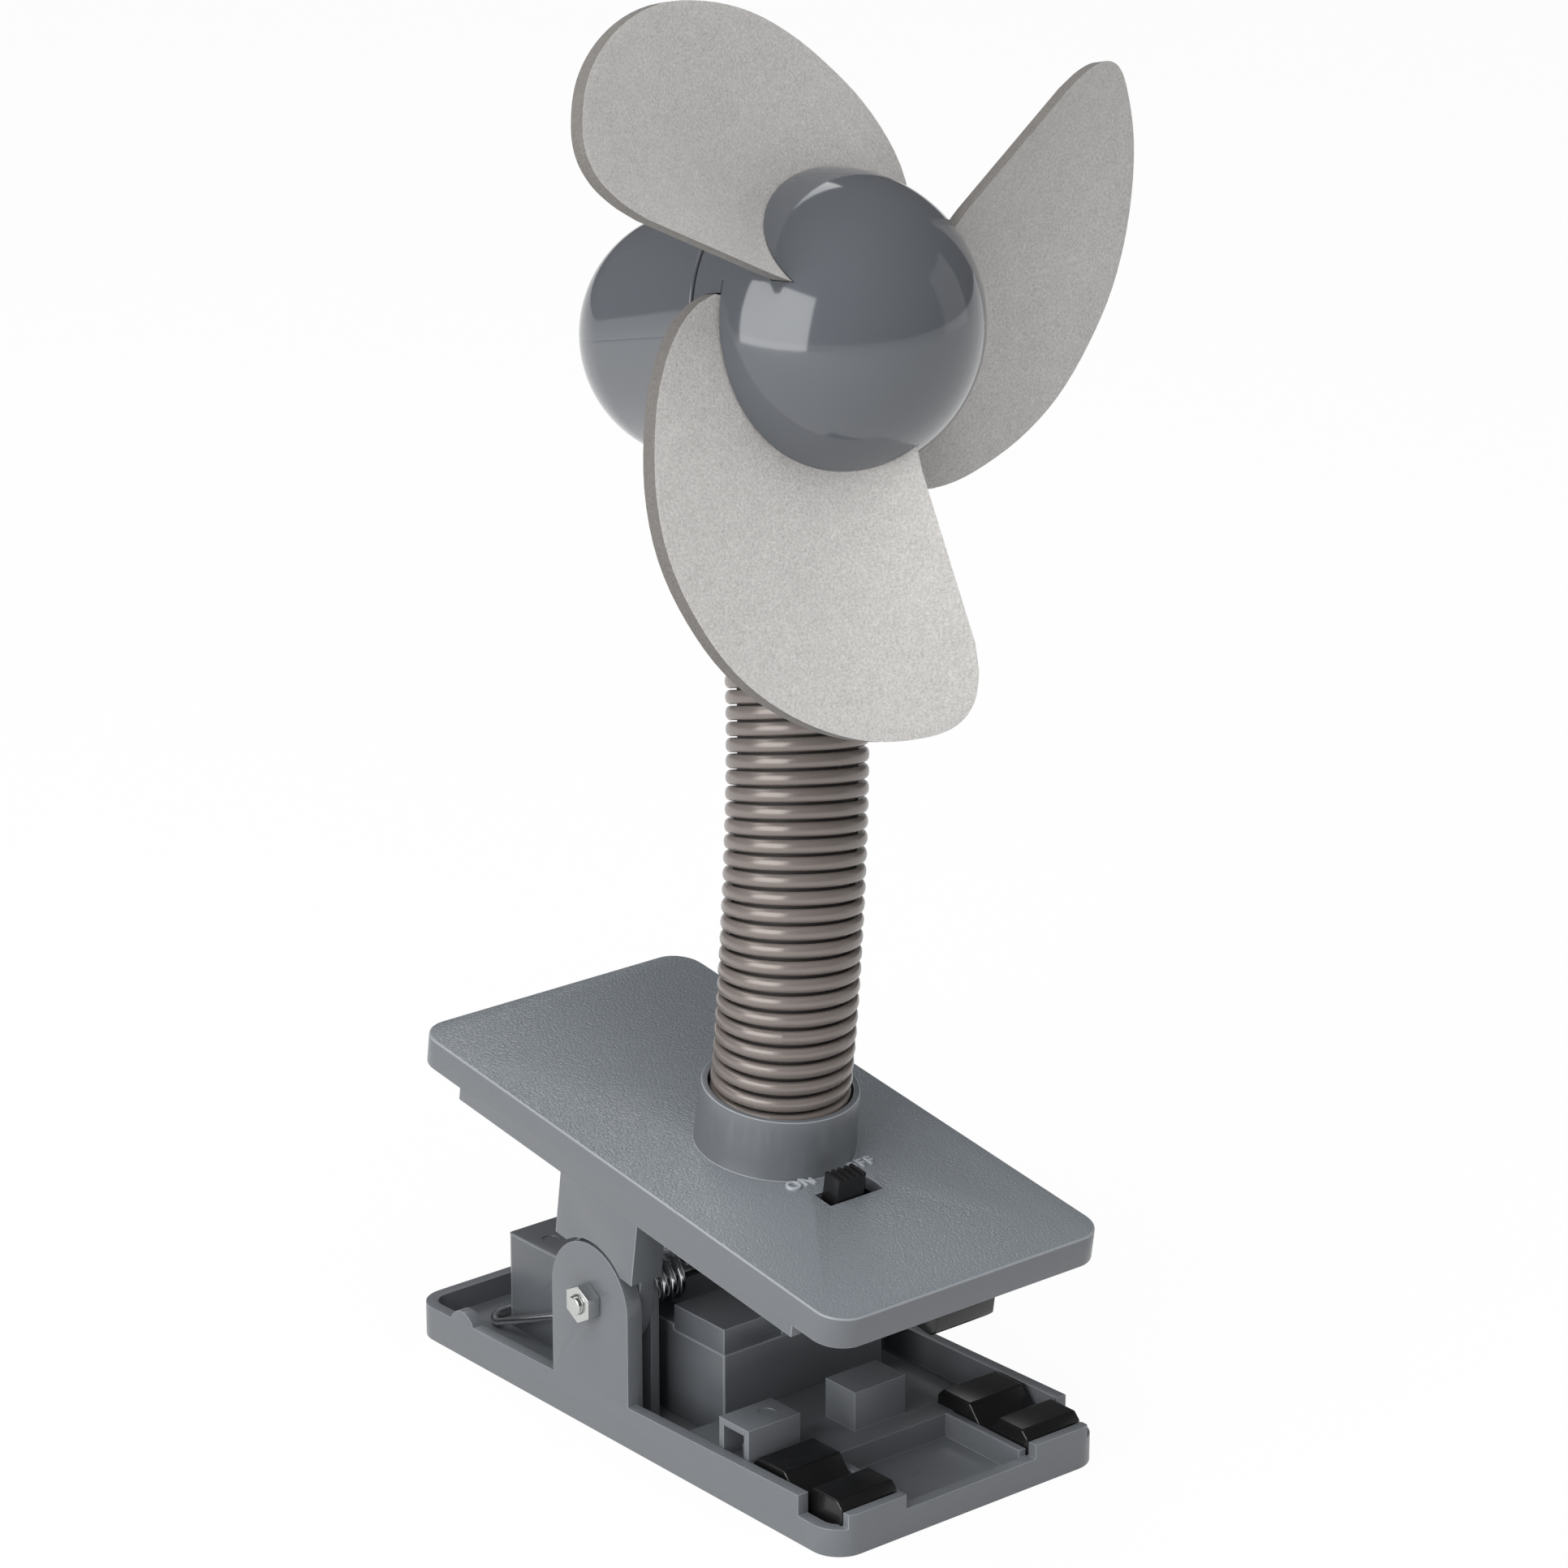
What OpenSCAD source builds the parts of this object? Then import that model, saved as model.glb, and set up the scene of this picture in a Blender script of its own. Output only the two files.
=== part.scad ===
// Clip-on battery fan: a two-jaw clip, a wound bendable neck and a soft three-blade rotor.
// The origin is on the tray's underside, below the hinge. The jaws open to the front, at -Y.

/* [Clip jaws] */
// Width of both jaws
jaw_w = 54; // [53:0.5:58]
// Reach of the tray in front of the hinge
tray_front = 59; // [59:0.5:63]
// Reach of the tray behind the hinge
tray_back = 46.6; // [45:0.2:52]
// Height of the hinge above the tray's underside
pivot_z = 21.8; // [21.8:0.1:24]
// Tilt of the shut upper jaw, front down
jaw_tilt = 8.1; // [6:0.1:10]
// Reach of the upper jaw in front of the hinge
plate_front = 56.2; // [56:0.2:60]
// Reach of the upper jaw behind the hinge
plate_back = 48.1; // [46:0.1:52]
// Height of the upper jaw's top face above the hinge
plate_top = 25.1; // [24.5:0.1:28]
// Radius of the round ears that carry the hinge bolt
ear_r = 9.5; // [9:0.1:10]

/* [Battery box] */
// Diameter of one battery cell
cell_d = 14.2; // [13.8:0.1:14.4]
// Length of one battery cell with its nub
cell_len = 50; // [49:0.1:50.5]
// Height of the lid on the front of the battery box
lid_h = 4.3; // [3.8:0.1:4.6]

/* [Neck] */
// Visible length of the neck between the collar and the motor housing
neck_len = 92.6; // [86:0.2:98]
// Outer diameter of the winding
neck_d = 21.9; // [21.5:0.1:22.1]
// Diameter of the wound wire
wind_wire = 1.75; // [1.6:0.05:1.8]
// Rise of the winding in one turn
wind_pitch = 2.5; // [2.45:0.05:3]
// Sideways lean at half height
side_lean = 10.5; // [6:0.5:13]
// Backward lean of the head
head_pitch = 14.3; // [12:0.1:16]
// Turn of the head about the neck
head_yaw = 2.7; // [0:0.1:5]

/* [Head and rotor] */
// Radius of the domed hub cap
hub_r = 23.15; // [22.9:0.05:23.5]
// Radius of the motor housing
pod_r = 22.9; // [22.6:0.1:23.2]
// Radius of the motor housing's round back
pod_back_r = 19.2; // [18.8:0.1:20.5]
// Distance from the hub cap's rim back to the centre of the round back
pod_len = 29; // [28:0.1:32]
// Distance from the neck's axis forward to the rim of the hub cap
hub_forward = 17.5; // [17.3:0.1:19]
// Radius swept by the blade tips
tip_r = 62; // [58:0.5:63]
// Thickness of the foam blades
blade_t = 2.6; // [2:0.1:2.8]
// Height that a blade's leading edge stands in front of the hub rim
blade_rise = 11.7; // [10:0.1:12.5]

/* [Hidden] */
$fn = 64;
cut = 0.5;
fit = 0.3;
slip = 0.1;
running = 0.05;

// Tray
wall = 2;
floor_t = 1.8;
rim_front = 7.9;
rim_back = 5.6;
rim_low = 4.5;
rim_low_len = 8.6;
corner_r = 5;
lip_h = 6.8;
bump_r = 3.2;
bump_y = 33.5;
bump_rise = 2.3;
ear_t = 2.9;
fork_t = 1.6;
fork_r = 7.5;
shelf_h = 5.7;
shelf_front = 40.2;
shelf_x = 13.5;
pocket_wall = 1.4;
pocket_x = 12;
post_w = 10.2;
post_l = 7;
post_h = 12.2;
post_y = -32.5;
screw_post_x = 1.5;
side_post_x = -19.6;
side_post_wall = 1.1;
tab_w = 2.4;
tab_h = 2;

// Rubber pads, as wide as the lips in front of them
pad_w = 11;
pad_from_side = 8.5;
pad_h = 6.4;
pad_len = 20.8;
pad_gap_front = 0.3;
notch_w = 6.6;
notch_h = 3.8;
notch_from_front = 10;
pad_edge = 1.2;

// Hinge hardware
bolt_r = 1.5;
bolt_head_r = 2.75;
bolt_head_h = 2.1;
bolt_spare = 0.8;
nut_flats = 5.5;
nut_h = 2.4;
nut_r = nut_flats / 2 / cos(30);

// Upper jaw
plate_t = 2.2;
plate_rim_h = 5;
skirt_h = 7;
skirt_front = 46.6;
skirt_back = 36;
cheek_bottom = 7.5;
cheek_half = 9.6;
tongue_r = 8;
tongue_t = 2.7;
holder_w = 12.4;
holder_h = 5.2;
holder_len = 21;
upper_pad_w = 11.6;
upper_pad_h = 4.4;
stop_w = 14;
stop_t = 2;
stop_y = -17.8;

// Collar and socket of the neck
collar_y = -8.9;
collar_h = 10;
collar_wall = 1;
collar_flare = 0.4;
socket_depth = 8.4;
socket_floor = 1.6;
neck_bore = neck_d + 2 * (fit + running);
wire_hole = 6;

// Slide switch
slot_w = 10.6;
slot_l = 3.9;
slot_y = -26.9;
knob_w = 5.4;
knob_l = 3.4;
knob_proud = 3.7;
knob_rest = -1.2;
knob_base = 3;
ridge_count = 5;
ridge_h = 0.4;
switch_w = 19;
switch_l = 6.6;
switch_h = 5.6;
pin_w = 1.4;
pin_t = 0.6;
pin_len = 3.2;
pin_pitch = 3;

// Battery box, door and cells
box_wall = 1.3;
cell_gap = 0.5;
nub_r = 2.7;
nub_h = 1.4;
contact_t = 0.6;
contact_spring_r = 3.6;
contact_spring_h = 1.3;
box_front = 19.5;
box_front_len = 12.3;
roof_t = 1;
rear_step = 0.8;
rear_len = 15.5;
lid_skirt = 0.6;
lid_top = 1.5;
lid_notch_w = 4.4;
lid_notch_h = 1.2;
lid_notch_x = -6.5;
door_ledge = 0.3;
door_gap = 0.2;
door_tab_w = 10;
door_tab_t = 1;
door_tab_end = 37.8;
well_r = 3.5;
well_h = 3.4;
screw_head_r = 2.3;
screw_head_h = 1.7;
screw_r = 1.2;
screw_len = 8;

// Torsion spring
spring_wire = 1.3;
spring_r = 3.5;
spring_pitch = 1.8;
spring_turns = 4;
spring_bend = 3;
spring_rear = 38.6;
arm_back = 16;

// Neck links
joint_count = 8;
ball_r = 4.5;
core_gap = 0.4;
relief_angle = 8;
face_gap = 0.15;
stub_h = 1.3;
boss_wall = 1;
boss_depth = 8.6;
curl_rings = 8;
wire_sides = 6;
path_steps = 96;
lean_power = 2.8;

// Motor housing and motor
pod_wall = 1.8;
pod_gap = 0.4;
seam_turn = 37;
carrier_t = 2.9;
motor_r = 10.05;
motor_flat = 15.2;
motor_len = 24;
motor_front = 7.3;
motor_boss_r = 3;
motor_boss_h = 1.6;
cap_len = 2.5;
shaft_r = 1;
shaft_front = 7.5;
terminal_w = 2.8;
terminal_len = 3.4;
terminal_t = 0.5;
terminal_x = 6;
cradle_t = 1.6;
cradle_inset = 4;

// Rotor
blade_count = 3;
blade_phase = 155.4;
blade_low = 1.2;
blade_run = 25;
front_cone = 7;
back_cone = -16;
root_r = 14;
cap_wall = 1.7;
hub_boss_r = 4.5;
hub_boss_h = 8;
stem_wall = 1.5;
stem_bottom = 3.1;
arc_steps = 10;
radial_steps = 6;
sector_overlap = 5;
// Each pair is a share of the blade's sector, then the edge's share of the tip radius there
blade_edge_shares = [
    [0.004, 0.8], [0.01, 0.87], [0.025, 0.94], [0.052, 0.985], [0.095, 1], [0.155, 0.998], [0.235, 0.965],
    [0.32, 0.91], [0.4, 0.84], [0.485, 0.765], [0.57, 0.685], [0.65, 0.615], [0.735, 0.555], [0.81, 0.505],
    [0.87, 0.465], [0.92, 0.425], [0.955, 0.385]
];

// Sizes that follow from the ones above
half_w = jaw_w / 2;
pad_x = half_w - pad_from_side;
ear_in = half_w - ear_t;
tongue_out = ear_in - fit;
tongue_in = tongue_out - tongue_t;
fork_out = tongue_in - fit;
fork_in = fork_out - fork_t;
cavity_half = cell_d + cell_gap;
box_half = cavity_half + box_wall;
cavity_top = floor_t + slip + cell_d + slip;
box_top = cavity_top + roof_t;
cavity_front = -box_front + box_wall;
cavity_len = cell_len + 2 * contact_t + contact_spring_h;
box_back = cavity_front + cavity_len + box_wall;
lid_bottom = cavity_top;
lid_z = lid_bottom + lid_h;
neck_r = neck_d / 2;
wind_r = neck_r - wind_wire / 2;
// The winding comes nearest to the neck's axis halfway between two of its rings
core_r = wind_r * cos(180 / curl_rings) - wind_wire / 2 - core_gap;
bore_r = neck_bore / 2;
collar_r = bore_r + collar_wall;
boss_r = bore_r + boss_wall;
socket_seat = plate_top - plate_t - socket_depth + socket_floor;
neck_buried = plate_top + collar_h - socket_seat - fit;
neck_seated = boss_depth - fit;
head_rise = pod_r + stub_h;
pod_front = blade_low - blade_t - fit - carrier_t - pod_gap;
pod_back = -pod_len;
sector = 360 / blade_count;
sheet_r = (blade_run * blade_run + blade_rise * blade_rise) / (2 * blade_rise);

// General shapes

// A rectangle from two corners, with round corners of true arcs
module rounded_rect(x0, x1, y0, y1, r) {
    translate([x0 + r, y0]) square([x1 - x0 - 2 * r, y1 - y0]);
    translate([x0, y0 + r]) square([x1 - x0, y1 - y0 - 2 * r]);
    for (x = [x0 + r, x1 - r], y = [y0 + r, y1 - r]) translate([x, y]) circle(r);
}

// A box between two corners
module block(from, to) translate(from) cube(to - from);

// A side view drawn in Y and Z, extruded from x0 to x1
module side_slab(x0, x1) translate([x0, 0, 0]) rotate([90, 0, 90]) linear_extrude(x1 - x0) children();

// The same slab on both sides of the clip
module both_sides(x0, x1) {
    side_slab(x0, x1) children();
    side_slab(-x1, -x0) children();
}

// A hole or a rod along X, through the hinge's centre
module hinge_rod(r, x0, x1) translate([x0, 0, 0]) rotate([0, 90, 0]) cylinder(r = r, h = x1 - x0);

function unit(v) = v / norm(v);

// A tube of equal rings along points, turned as little as can be from ring to ring.
// Spare points at both ends carry no ring, and only set how the end faces lie.
function ring_tangent(p, i) = let (n = len(p) - 1)
    i == 0 ? unit(p[1] - p[0]) :
    i == n ? unit(p[n] - p[n - 1]) :
    unit(unit(p[i + 1] - p[i]) + unit(p[i] - p[i - 1]));
function level(v, t) = unit(v - (v * t) * t);
function ring_sides(p, first) = [
    for (i = 0, v = level(first, ring_tangent(p, 0)); i < len(p);
         v = i + 1 < len(p) ? level(v, ring_tangent(p, i + 1)) : v, i = i + 1) v
];
function tube_points(p, r, first, spare) = let (sides = ring_sides(p, first))
    [for (i = [spare:len(p) - 1 - spare]) let (t = ring_tangent(p, i), u = sides[i], w = cross(t, u))
        for (a = [0:360 / wire_sides:359]) p[i] + r * (cos(a) * u + sin(a) * w)];
function tube_faces(rings) = let (m = wire_sides) concat(
    [for (i = [0:rings - 2], k = [0:m - 1]) each [
        [i * m + k, (i + 1) * m + k, (i + 1) * m + (k + 1) % m],
        [i * m + k, (i + 1) * m + (k + 1) % m, i * m + (k + 1) % m]]],
    [for (k = [1:m - 2]) [0, k, k + 1]],
    [for (k = [1:m - 2]) [(rings - 1) * m, (rings - 1) * m + k + 1, (rings - 1) * m + k]]);
module tube(p, r, first, spare = 0)
    polyhedron(tube_points(p, r, first, spare), tube_faces(len(p) - 2 * spare), convexity = 8);

// Frames

// The upper jaw's own frame, with its origin on the hinge
module in_upper_jaw() translate([0, 0, pivot_z]) rotate([jaw_tilt, 0, 0]) children();

// The neck's centre line: a share of 0 is at the collar's rim, 1 at the motor housing
function lean(share) = let (s = max(0, min(1, share)))
    -jaw_tilt + (head_pitch + jaw_tilt) * (1 - pow(1 - s, lean_power));
function side(share) = side_lean * sin(180 * max(0, min(1, share)));
function neck_x(share) = let (a = lean(share), b = side(share)) [cos(b), -sin(b) * sin(a), -sin(b) * cos(a)];
function neck_y(share) = let (a = lean(share)) [0, cos(a), -sin(a)];
function neck_dir(share) = let (a = lean(share), b = side(share)) [sin(b), sin(a) * cos(b), cos(a) * cos(b)];
function from_jaw(y, z) =
    [0, y * cos(jaw_tilt) - z * sin(jaw_tilt), pivot_z + y * sin(jaw_tilt) + z * cos(jaw_tilt)];
neck_path = [
    for (i = 0, q = from_jaw(collar_y, plate_top + collar_h); i <= path_steps;
         q = q + neck_len / path_steps * neck_dir((i + 0.5) / path_steps), i = i + 1) q
];
function neck_point(share) =
    share <= 0 ? neck_path[0] + neck_len * share * neck_dir(0) :
    share >= 1 ? neck_path[path_steps] + neck_len * (share - 1) * neck_dir(1) :
    let (k = floor(share * path_steps), f = share * path_steps - k)
        neck_path[k] * (1 - f) + neck_path[min(path_steps, k + 1)] * f;
function joint_share(k) = (k - 0.5) / joint_count;
low_share = -neck_buried / neck_len;
high_share = 1 + neck_seated / neck_len;
function link_low(k) = k == 0 ? low_share : joint_share(k);
function link_high(k) = k == joint_count ? high_share : joint_share(k + 1);

// Places a link that stands on point a and points to point b
module along(a, b) {
    d = unit(b - a);
    back = asin(d[0]);
    translate(a) rotate([-atan2(d[1], d[2]), 0, 0]) rotate([0, back, 0]) children();
}

// The head's frame, with its origin on the neck's axis at the housing's stub
module in_head() translate(neck_path[path_steps])
    rotate([-head_pitch, 0, 0]) rotate([0, 0, head_yaw]) children();

// The fan's frame: the origin on the shaft at the hub cap's rim, +Z forward, +Y up
module in_fan() in_head() translate([0, -hub_forward, head_rise]) rotate([90, 0, 0]) children();

// Lower jaw

module tray_outline(inset) rounded_rect(
    -half_w + inset, half_w - inset, -tray_front + inset, tray_back - inset, corner_r - inset);

module tray_side() polygon([
    [-tray_front, 0], [-tray_front, rim_low], [-tray_front + rim_low_len, rim_low],
    [-tray_front + rim_low_len, rim_front], [tray_back, rim_back], [tray_back, 0]
]);

module tray_shell() difference() {
    intersection() {
        linear_extrude(rim_front) tray_outline(0);
        side_slab(-half_w, half_w) tray_side();
    }
    translate([0, 0, floor_t]) linear_extrude(rim_front) tray_outline(wall);
}

module tray_lips() intersection() {
    linear_extrude(lip_h) tray_outline(0);
    for (s = [-1, 1]) block(
        [s * pad_x - pad_w / 2, -tray_front, 0],
        [s * pad_x + pad_w / 2, -tray_front + wall - pad_gap_front, lip_h]);
}

module tray_bumps() intersection() {
    linear_extrude(rim_front + bump_rise) tray_outline(0);
    both_sides(half_w - wall, half_w) translate([bump_y, rim_back + bump_rise - bump_r]) circle(bump_r);
}

module ear_side(r) {
    translate([-r, 0]) square([2 * r, pivot_z]);
    translate([0, pivot_z]) circle(r);
}

module screw_post() block(
    [screw_post_x - post_w / 2, post_y - post_l / 2, floor_t],
    [screw_post_x + post_w / 2, post_y + post_l / 2, post_h]);

module side_post() {
    difference() {
        block([side_post_x - post_w / 2, post_y - post_l / 2, floor_t],
            [side_post_x + post_w / 2, post_y + post_l / 2, post_h]);
        block([side_post_x - post_w / 2 - cut, post_y - post_l / 2 + side_post_wall, shelf_h],
            [side_post_x, post_y + post_l / 2 - side_post_wall, post_h - side_post_wall]);
    }
    block([side_post_x - tab_w, post_y - tab_w / 2, floor_t],
        [side_post_x + side_post_wall, post_y + tab_w / 2, shelf_h + tab_h]);
}

module shelf() {
    block([-half_w + wall, -shelf_front, floor_t], [shelf_x, -box_front - slip, shelf_h]);
    for (s = [-1, 1]) block(
        [s * pocket_x - pocket_wall / 2, -tray_front + wall, floor_t],
        [s * pocket_x + pocket_wall / 2, -shelf_front, shelf_h]);
}

module door_opening() {
    block([-cavity_half - door_ledge - door_gap, -box_front + box_wall / 2, -cut],
        [cavity_half + door_ledge + door_gap, box_back - box_wall / 2, floor_t + cut]);
    block([screw_post_x - door_tab_w / 2 - door_gap, -door_tab_end - door_gap, -cut],
        [screw_post_x + door_tab_w / 2 + door_gap, -box_front + box_wall, door_tab_t + slip]);
    translate([screw_post_x, post_y, -cut]) cylinder(r = well_r, h = well_h + cut);
    translate([screw_post_x, post_y, 0]) cylinder(r = screw_r + slip, h = well_h + screw_len);
}

// Seats of the pads, cut into the shelf behind the pocket
module pad_seats() for (s = [-1, 1]) block(
    [s * pad_x - pad_w / 2 - slip, -tray_front + wall, floor_t],
    [s * pad_x + pad_w / 2 + slip, -tray_front + wall + pad_len + slip, post_h]);

module lower_jaw() color("#77797d") difference() {
    union() {
        tray_shell();
        tray_lips();
        tray_bumps();
        shelf();
        screw_post();
        side_post();
        both_sides(ear_in, half_w) ear_side(ear_r);
        both_sides(fork_in, fork_out) ear_side(fork_r);
    }
    translate([0, 0, pivot_z]) hinge_rod(bolt_r + slip, -half_w - cut, half_w + cut);
    door_opening();
    pad_seats();
}

// Battery box

module battery_box() color("#74777c") difference() {
    union() {
        block([-box_half, -box_front, floor_t], [box_half, box_back, cavity_top]);
        block([-box_half + lid_skirt + slip, -box_front + lid_skirt + slip, floor_t],
            [box_half - lid_skirt - slip, box_back, box_top]);
        block([-box_half, -box_front + box_front_len + slip, floor_t], [box_half, box_back, box_top]);
        block([-box_half, box_back - rear_len, floor_t], [box_half, box_back, box_top + rear_step]);
    }
    block([-cavity_half, cavity_front, floor_t - cut], [cavity_half, box_back - box_wall, cavity_top]);
}

module battery_box_lid() color("#74777c") difference() {
    block([-box_half, -box_front, lid_bottom], [box_half, -box_front + box_front_len, lid_z]);
    block([-box_half + lid_skirt, -box_front + lid_skirt, lid_bottom - cut],
        [box_half - lid_skirt, -box_front + box_front_len + cut, box_top + slip]);
    block([-box_half + lid_top, -box_front + lid_top, lid_bottom - cut],
        [box_half - lid_top, -box_front + box_front_len - lid_top, lid_z - lid_top]);
    block([lid_notch_x - lid_notch_w / 2, -box_front - cut, lid_bottom - cut],
        [lid_notch_x + lid_notch_w / 2, -box_front + lid_skirt / 2, lid_bottom + lid_notch_h]);
}

module battery_door() color("#6f7276") difference() {
    union() {
        block([-cavity_half - door_ledge, -box_front + box_wall / 2 + door_gap, 0],
            [cavity_half + door_ledge, box_back - box_wall / 2 - door_gap, floor_t]);
        block([screw_post_x - door_tab_w / 2, -door_tab_end, 0],
            [screw_post_x + door_tab_w / 2, -box_front + box_wall, door_tab_t]);
        translate([screw_post_x, post_y, 0]) cylinder(r = well_r - fit, h = well_h - door_gap);
    }
    translate([screw_post_x, post_y, -cut]) cylinder(r = screw_head_r + fit, h = cut + fit + screw_head_h);
    translate([screw_post_x, post_y, 0]) cylinder(r = screw_r + fit, h = well_h);
}

module door_screw() color("silver") translate([screw_post_x, post_y, fit]) difference() {
    union() {
        cylinder(r = screw_head_r, h = screw_head_h);
        cylinder(r = screw_r, h = screw_head_h + screw_len);
    }
    for (turn = [0, 90]) rotate([0, 0, turn]) block(
        [-screw_head_r / 2, -screw_head_h / 6, -cut], [screw_head_r / 2, screw_head_h / 6, screw_head_h / 2]);
}

// One cell along +Y, with its nub at the front end
module cell() rotate([-90, 0, 0]) {
    cylinder(r = nub_r, h = nub_h + slip);
    translate([0, 0, nub_h]) cylinder(r = cell_d / 2, h = cell_len - nub_h);
}

cell_x = (cell_d + cell_gap) / 2;
cell_z = floor_t + slip + cell_d / 2;
cell_start = cavity_front + contact_t;

module battery_cells() color("#c9a24a") {
    translate([-cell_x, cell_start + slip, cell_z]) cell();
    translate([cell_x, cell_start + cell_len + contact_spring_h - slip, cell_z]) rotate([0, 0, 180]) cell();
}

// A contact plate whose conical spring presses the flat end of a cell
module contact(spring_dir) {
    block([-cell_d / 2 + cell_gap, -contact_t / 2, -cell_d / 2 + cell_gap],
        [cell_d / 2 - cell_gap, contact_t / 2, cell_d / 2 - cell_gap]);
    if (spring_dir != 0) rotate([-90 * spring_dir, 0, 0])
        cylinder(r1 = contact_spring_r, r2 = contact_spring_r / 2, h = contact_spring_h);
}

module battery_contacts() color("gainsboro") {
    front_y = cavity_front + contact_t / 2;
    back_y = cavity_front + cavity_len - contact_t / 2;
    translate([-cell_x, front_y, cell_z]) contact(0);
    translate([cell_x, front_y, cell_z]) contact(1);
    translate([-cell_x, back_y, cell_z]) contact(-1);
    translate([cell_x, back_y, cell_z]) contact(0);
}

// Rubber pads

// Side view of a pad: a block with a V notch and bevelled ends, front at y = 0, base at z = 0
module pad_side(h) polygon([
    [0, 0], [0, h - pad_edge], [pad_edge, h], [notch_from_front - notch_w / 2, h],
    [notch_from_front, h - notch_h], [notch_from_front + notch_w / 2, h],
    [pad_len - pad_edge, h], [pad_len, h - pad_edge], [pad_len, 0]
]);

module lower_pad(x) color("#1c1c1d")
    side_slab(x - pad_w / 2, x + pad_w / 2) translate([-tray_front + wall, floor_t]) pad_side(pad_h);
module lower_pad_left() lower_pad(-pad_x);
module lower_pad_right() lower_pad(pad_x);

module upper_pad() color("#1c1c1d") in_upper_jaw()
    side_slab(-upper_pad_w / 2, upper_pad_w / 2)
        translate([-plate_front + wall / 2, plate_top - holder_h]) mirror([0, 1]) pad_side(upper_pad_h);

// Hinge hardware

module pivot_bolt() color("silver") translate([0, 0, pivot_z]) {
    hinge_rod(bolt_r, -half_w - nut_h - bolt_spare, half_w + bolt_head_h / 2);
    hinge_rod(bolt_head_r, half_w, half_w + bolt_head_h);
}

module pivot_nut() color("silver") translate([0, 0, pivot_z]) difference() {
    translate([-half_w - nut_h, 0, 0]) rotate([0, 90, 0]) cylinder(r = nut_r, h = nut_h, $fn = 6);
    hinge_rod(bolt_r + running, -half_w - nut_h - cut, -half_w + cut);
}

// Double torsion spring: two coils on the bolt, a loop behind the battery box and two upper arms

function coil_point(x, angle) = [x, spring_r * cos(angle), pivot_z + spring_r * sin(angle)];
loop_z = floor_t + fit + spring_wire / 2;
// Angle on the coil where the loop's leg leaves it, straight to the low corner behind the box
leg_run = norm([spring_rear, pivot_z - loop_z]);
leg_angle = -atan2(pivot_z - loop_z, spring_rear) - acos(spring_r / leg_run);
arm_tip = from_jaw(arm_back, plate_top - plate_t - fit - spring_wire / 2);
arm_run = norm([arm_tip[1], arm_tip[2] - pivot_z]);
arm_angle = atan2(arm_tip[2] - pivot_z, arm_tip[1]) + acos(spring_r / arm_run);
coil_turns = spring_turns + (arm_angle - leg_angle) / 360;
coil_rings = round(curl_rings * coil_turns);
coil_out = fork_in - fit - spring_wire / 2;
coil_in = coil_out - coil_turns * spring_pitch;
half_spring = concat(
    [[coil_in, arm_tip[1], arm_tip[2]]],
    [for (i = [0:coil_rings]) coil_point(coil_in + (coil_out - coil_in) * i / coil_rings,
        arm_angle - 360 * coil_turns * i / coil_rings)],
    [for (a = [0:45:90])
        [coil_out - spring_bend * (1 - cos(a)), spring_rear - spring_bend * (1 - sin(a)), loop_z]]
);
spring_path = concat(
    half_spring,
    [for (i = [len(half_spring) - 1:-1:0]) [-half_spring[i][0], half_spring[i][1], half_spring[i][2]]]
);

module torsion_spring() color("#c8ccd0") tube(spring_path, spring_wire / 2, [1, 0, 0]);

// Upper jaw

module plate_outline(inset) rounded_rect(
    -half_w + inset, half_w - inset, -plate_front + inset, plate_back - inset, corner_r - inset);

module plate_shell() difference() {
    translate([0, 0, plate_top - plate_rim_h]) linear_extrude(plate_rim_h) plate_outline(0);
    translate([0, 0, plate_top - plate_rim_h - cut])
        linear_extrude(plate_rim_h - plate_t + cut) plate_outline(wall);
}

module cheeks() difference() {
    union() {
        both_sides(half_w - wall, half_w) translate([-skirt_front, plate_top - skirt_h])
            square([skirt_front + skirt_back, skirt_h - plate_t]);
        both_sides(tongue_in, half_w) translate([-cheek_half, cheek_bottom])
            square([2 * cheek_half, plate_top - plate_t - cheek_bottom]);
        both_sides(tongue_in, tongue_out) {
            translate([-tongue_r, 0]) square([2 * tongue_r, plate_top - plate_t]);
            circle(tongue_r);
        }
    }
    both_sides(tongue_out, half_w + cut) circle(ear_r + 2 * fit);
    hinge_rod(bolt_r + running, -half_w - cut, half_w + cut);
}

module neck_socket() translate([0, collar_y, 0]) {
    translate([0, 0, plate_top]) cylinder(r1 = collar_r + collar_flare, r2 = collar_r, h = collar_h);
    translate([0, 0, plate_top - plate_t - socket_depth]) cylinder(r = collar_r, h = socket_depth + plate_t);
}

module neck_socket_bore() translate([0, collar_y, 0]) {
    translate([0, 0, socket_seat]) cylinder(r = bore_r, h = plate_top + collar_h - socket_seat + cut);
    translate([0, 0, socket_seat - socket_floor - cut]) cylinder(d = wire_hole, h = socket_floor + 2 * cut);
}

module shut_stop() {
    // The stop's foot is level with the lid at rest
    foot_z = (lid_z + fit - pivot_z - stop_y * sin(jaw_tilt)) / cos(jaw_tilt) + stop_t * tan(jaw_tilt);
    block([-stop_w / 2, stop_y - stop_t / 2, foot_z], [stop_w / 2, stop_y + stop_t / 2, plate_top - plate_t]);
}

module upper_jaw() color("#7b8085") in_upper_jaw() difference() {
    union() {
        plate_shell();
        cheeks();
        neck_socket();
        shut_stop();
        block([-holder_w / 2, -plate_front + wall / 2, plate_top - holder_h],
            [holder_w / 2, -plate_front + wall / 2 + holder_len, plate_top - plate_t]);
    }
    neck_socket_bore();
    block([-slot_w / 2, slot_y - slot_l / 2, plate_top - plate_t - cut],
        [slot_w / 2, slot_y + slot_l / 2, plate_top + cut]);
}

// Slide switch under the slot

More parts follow.
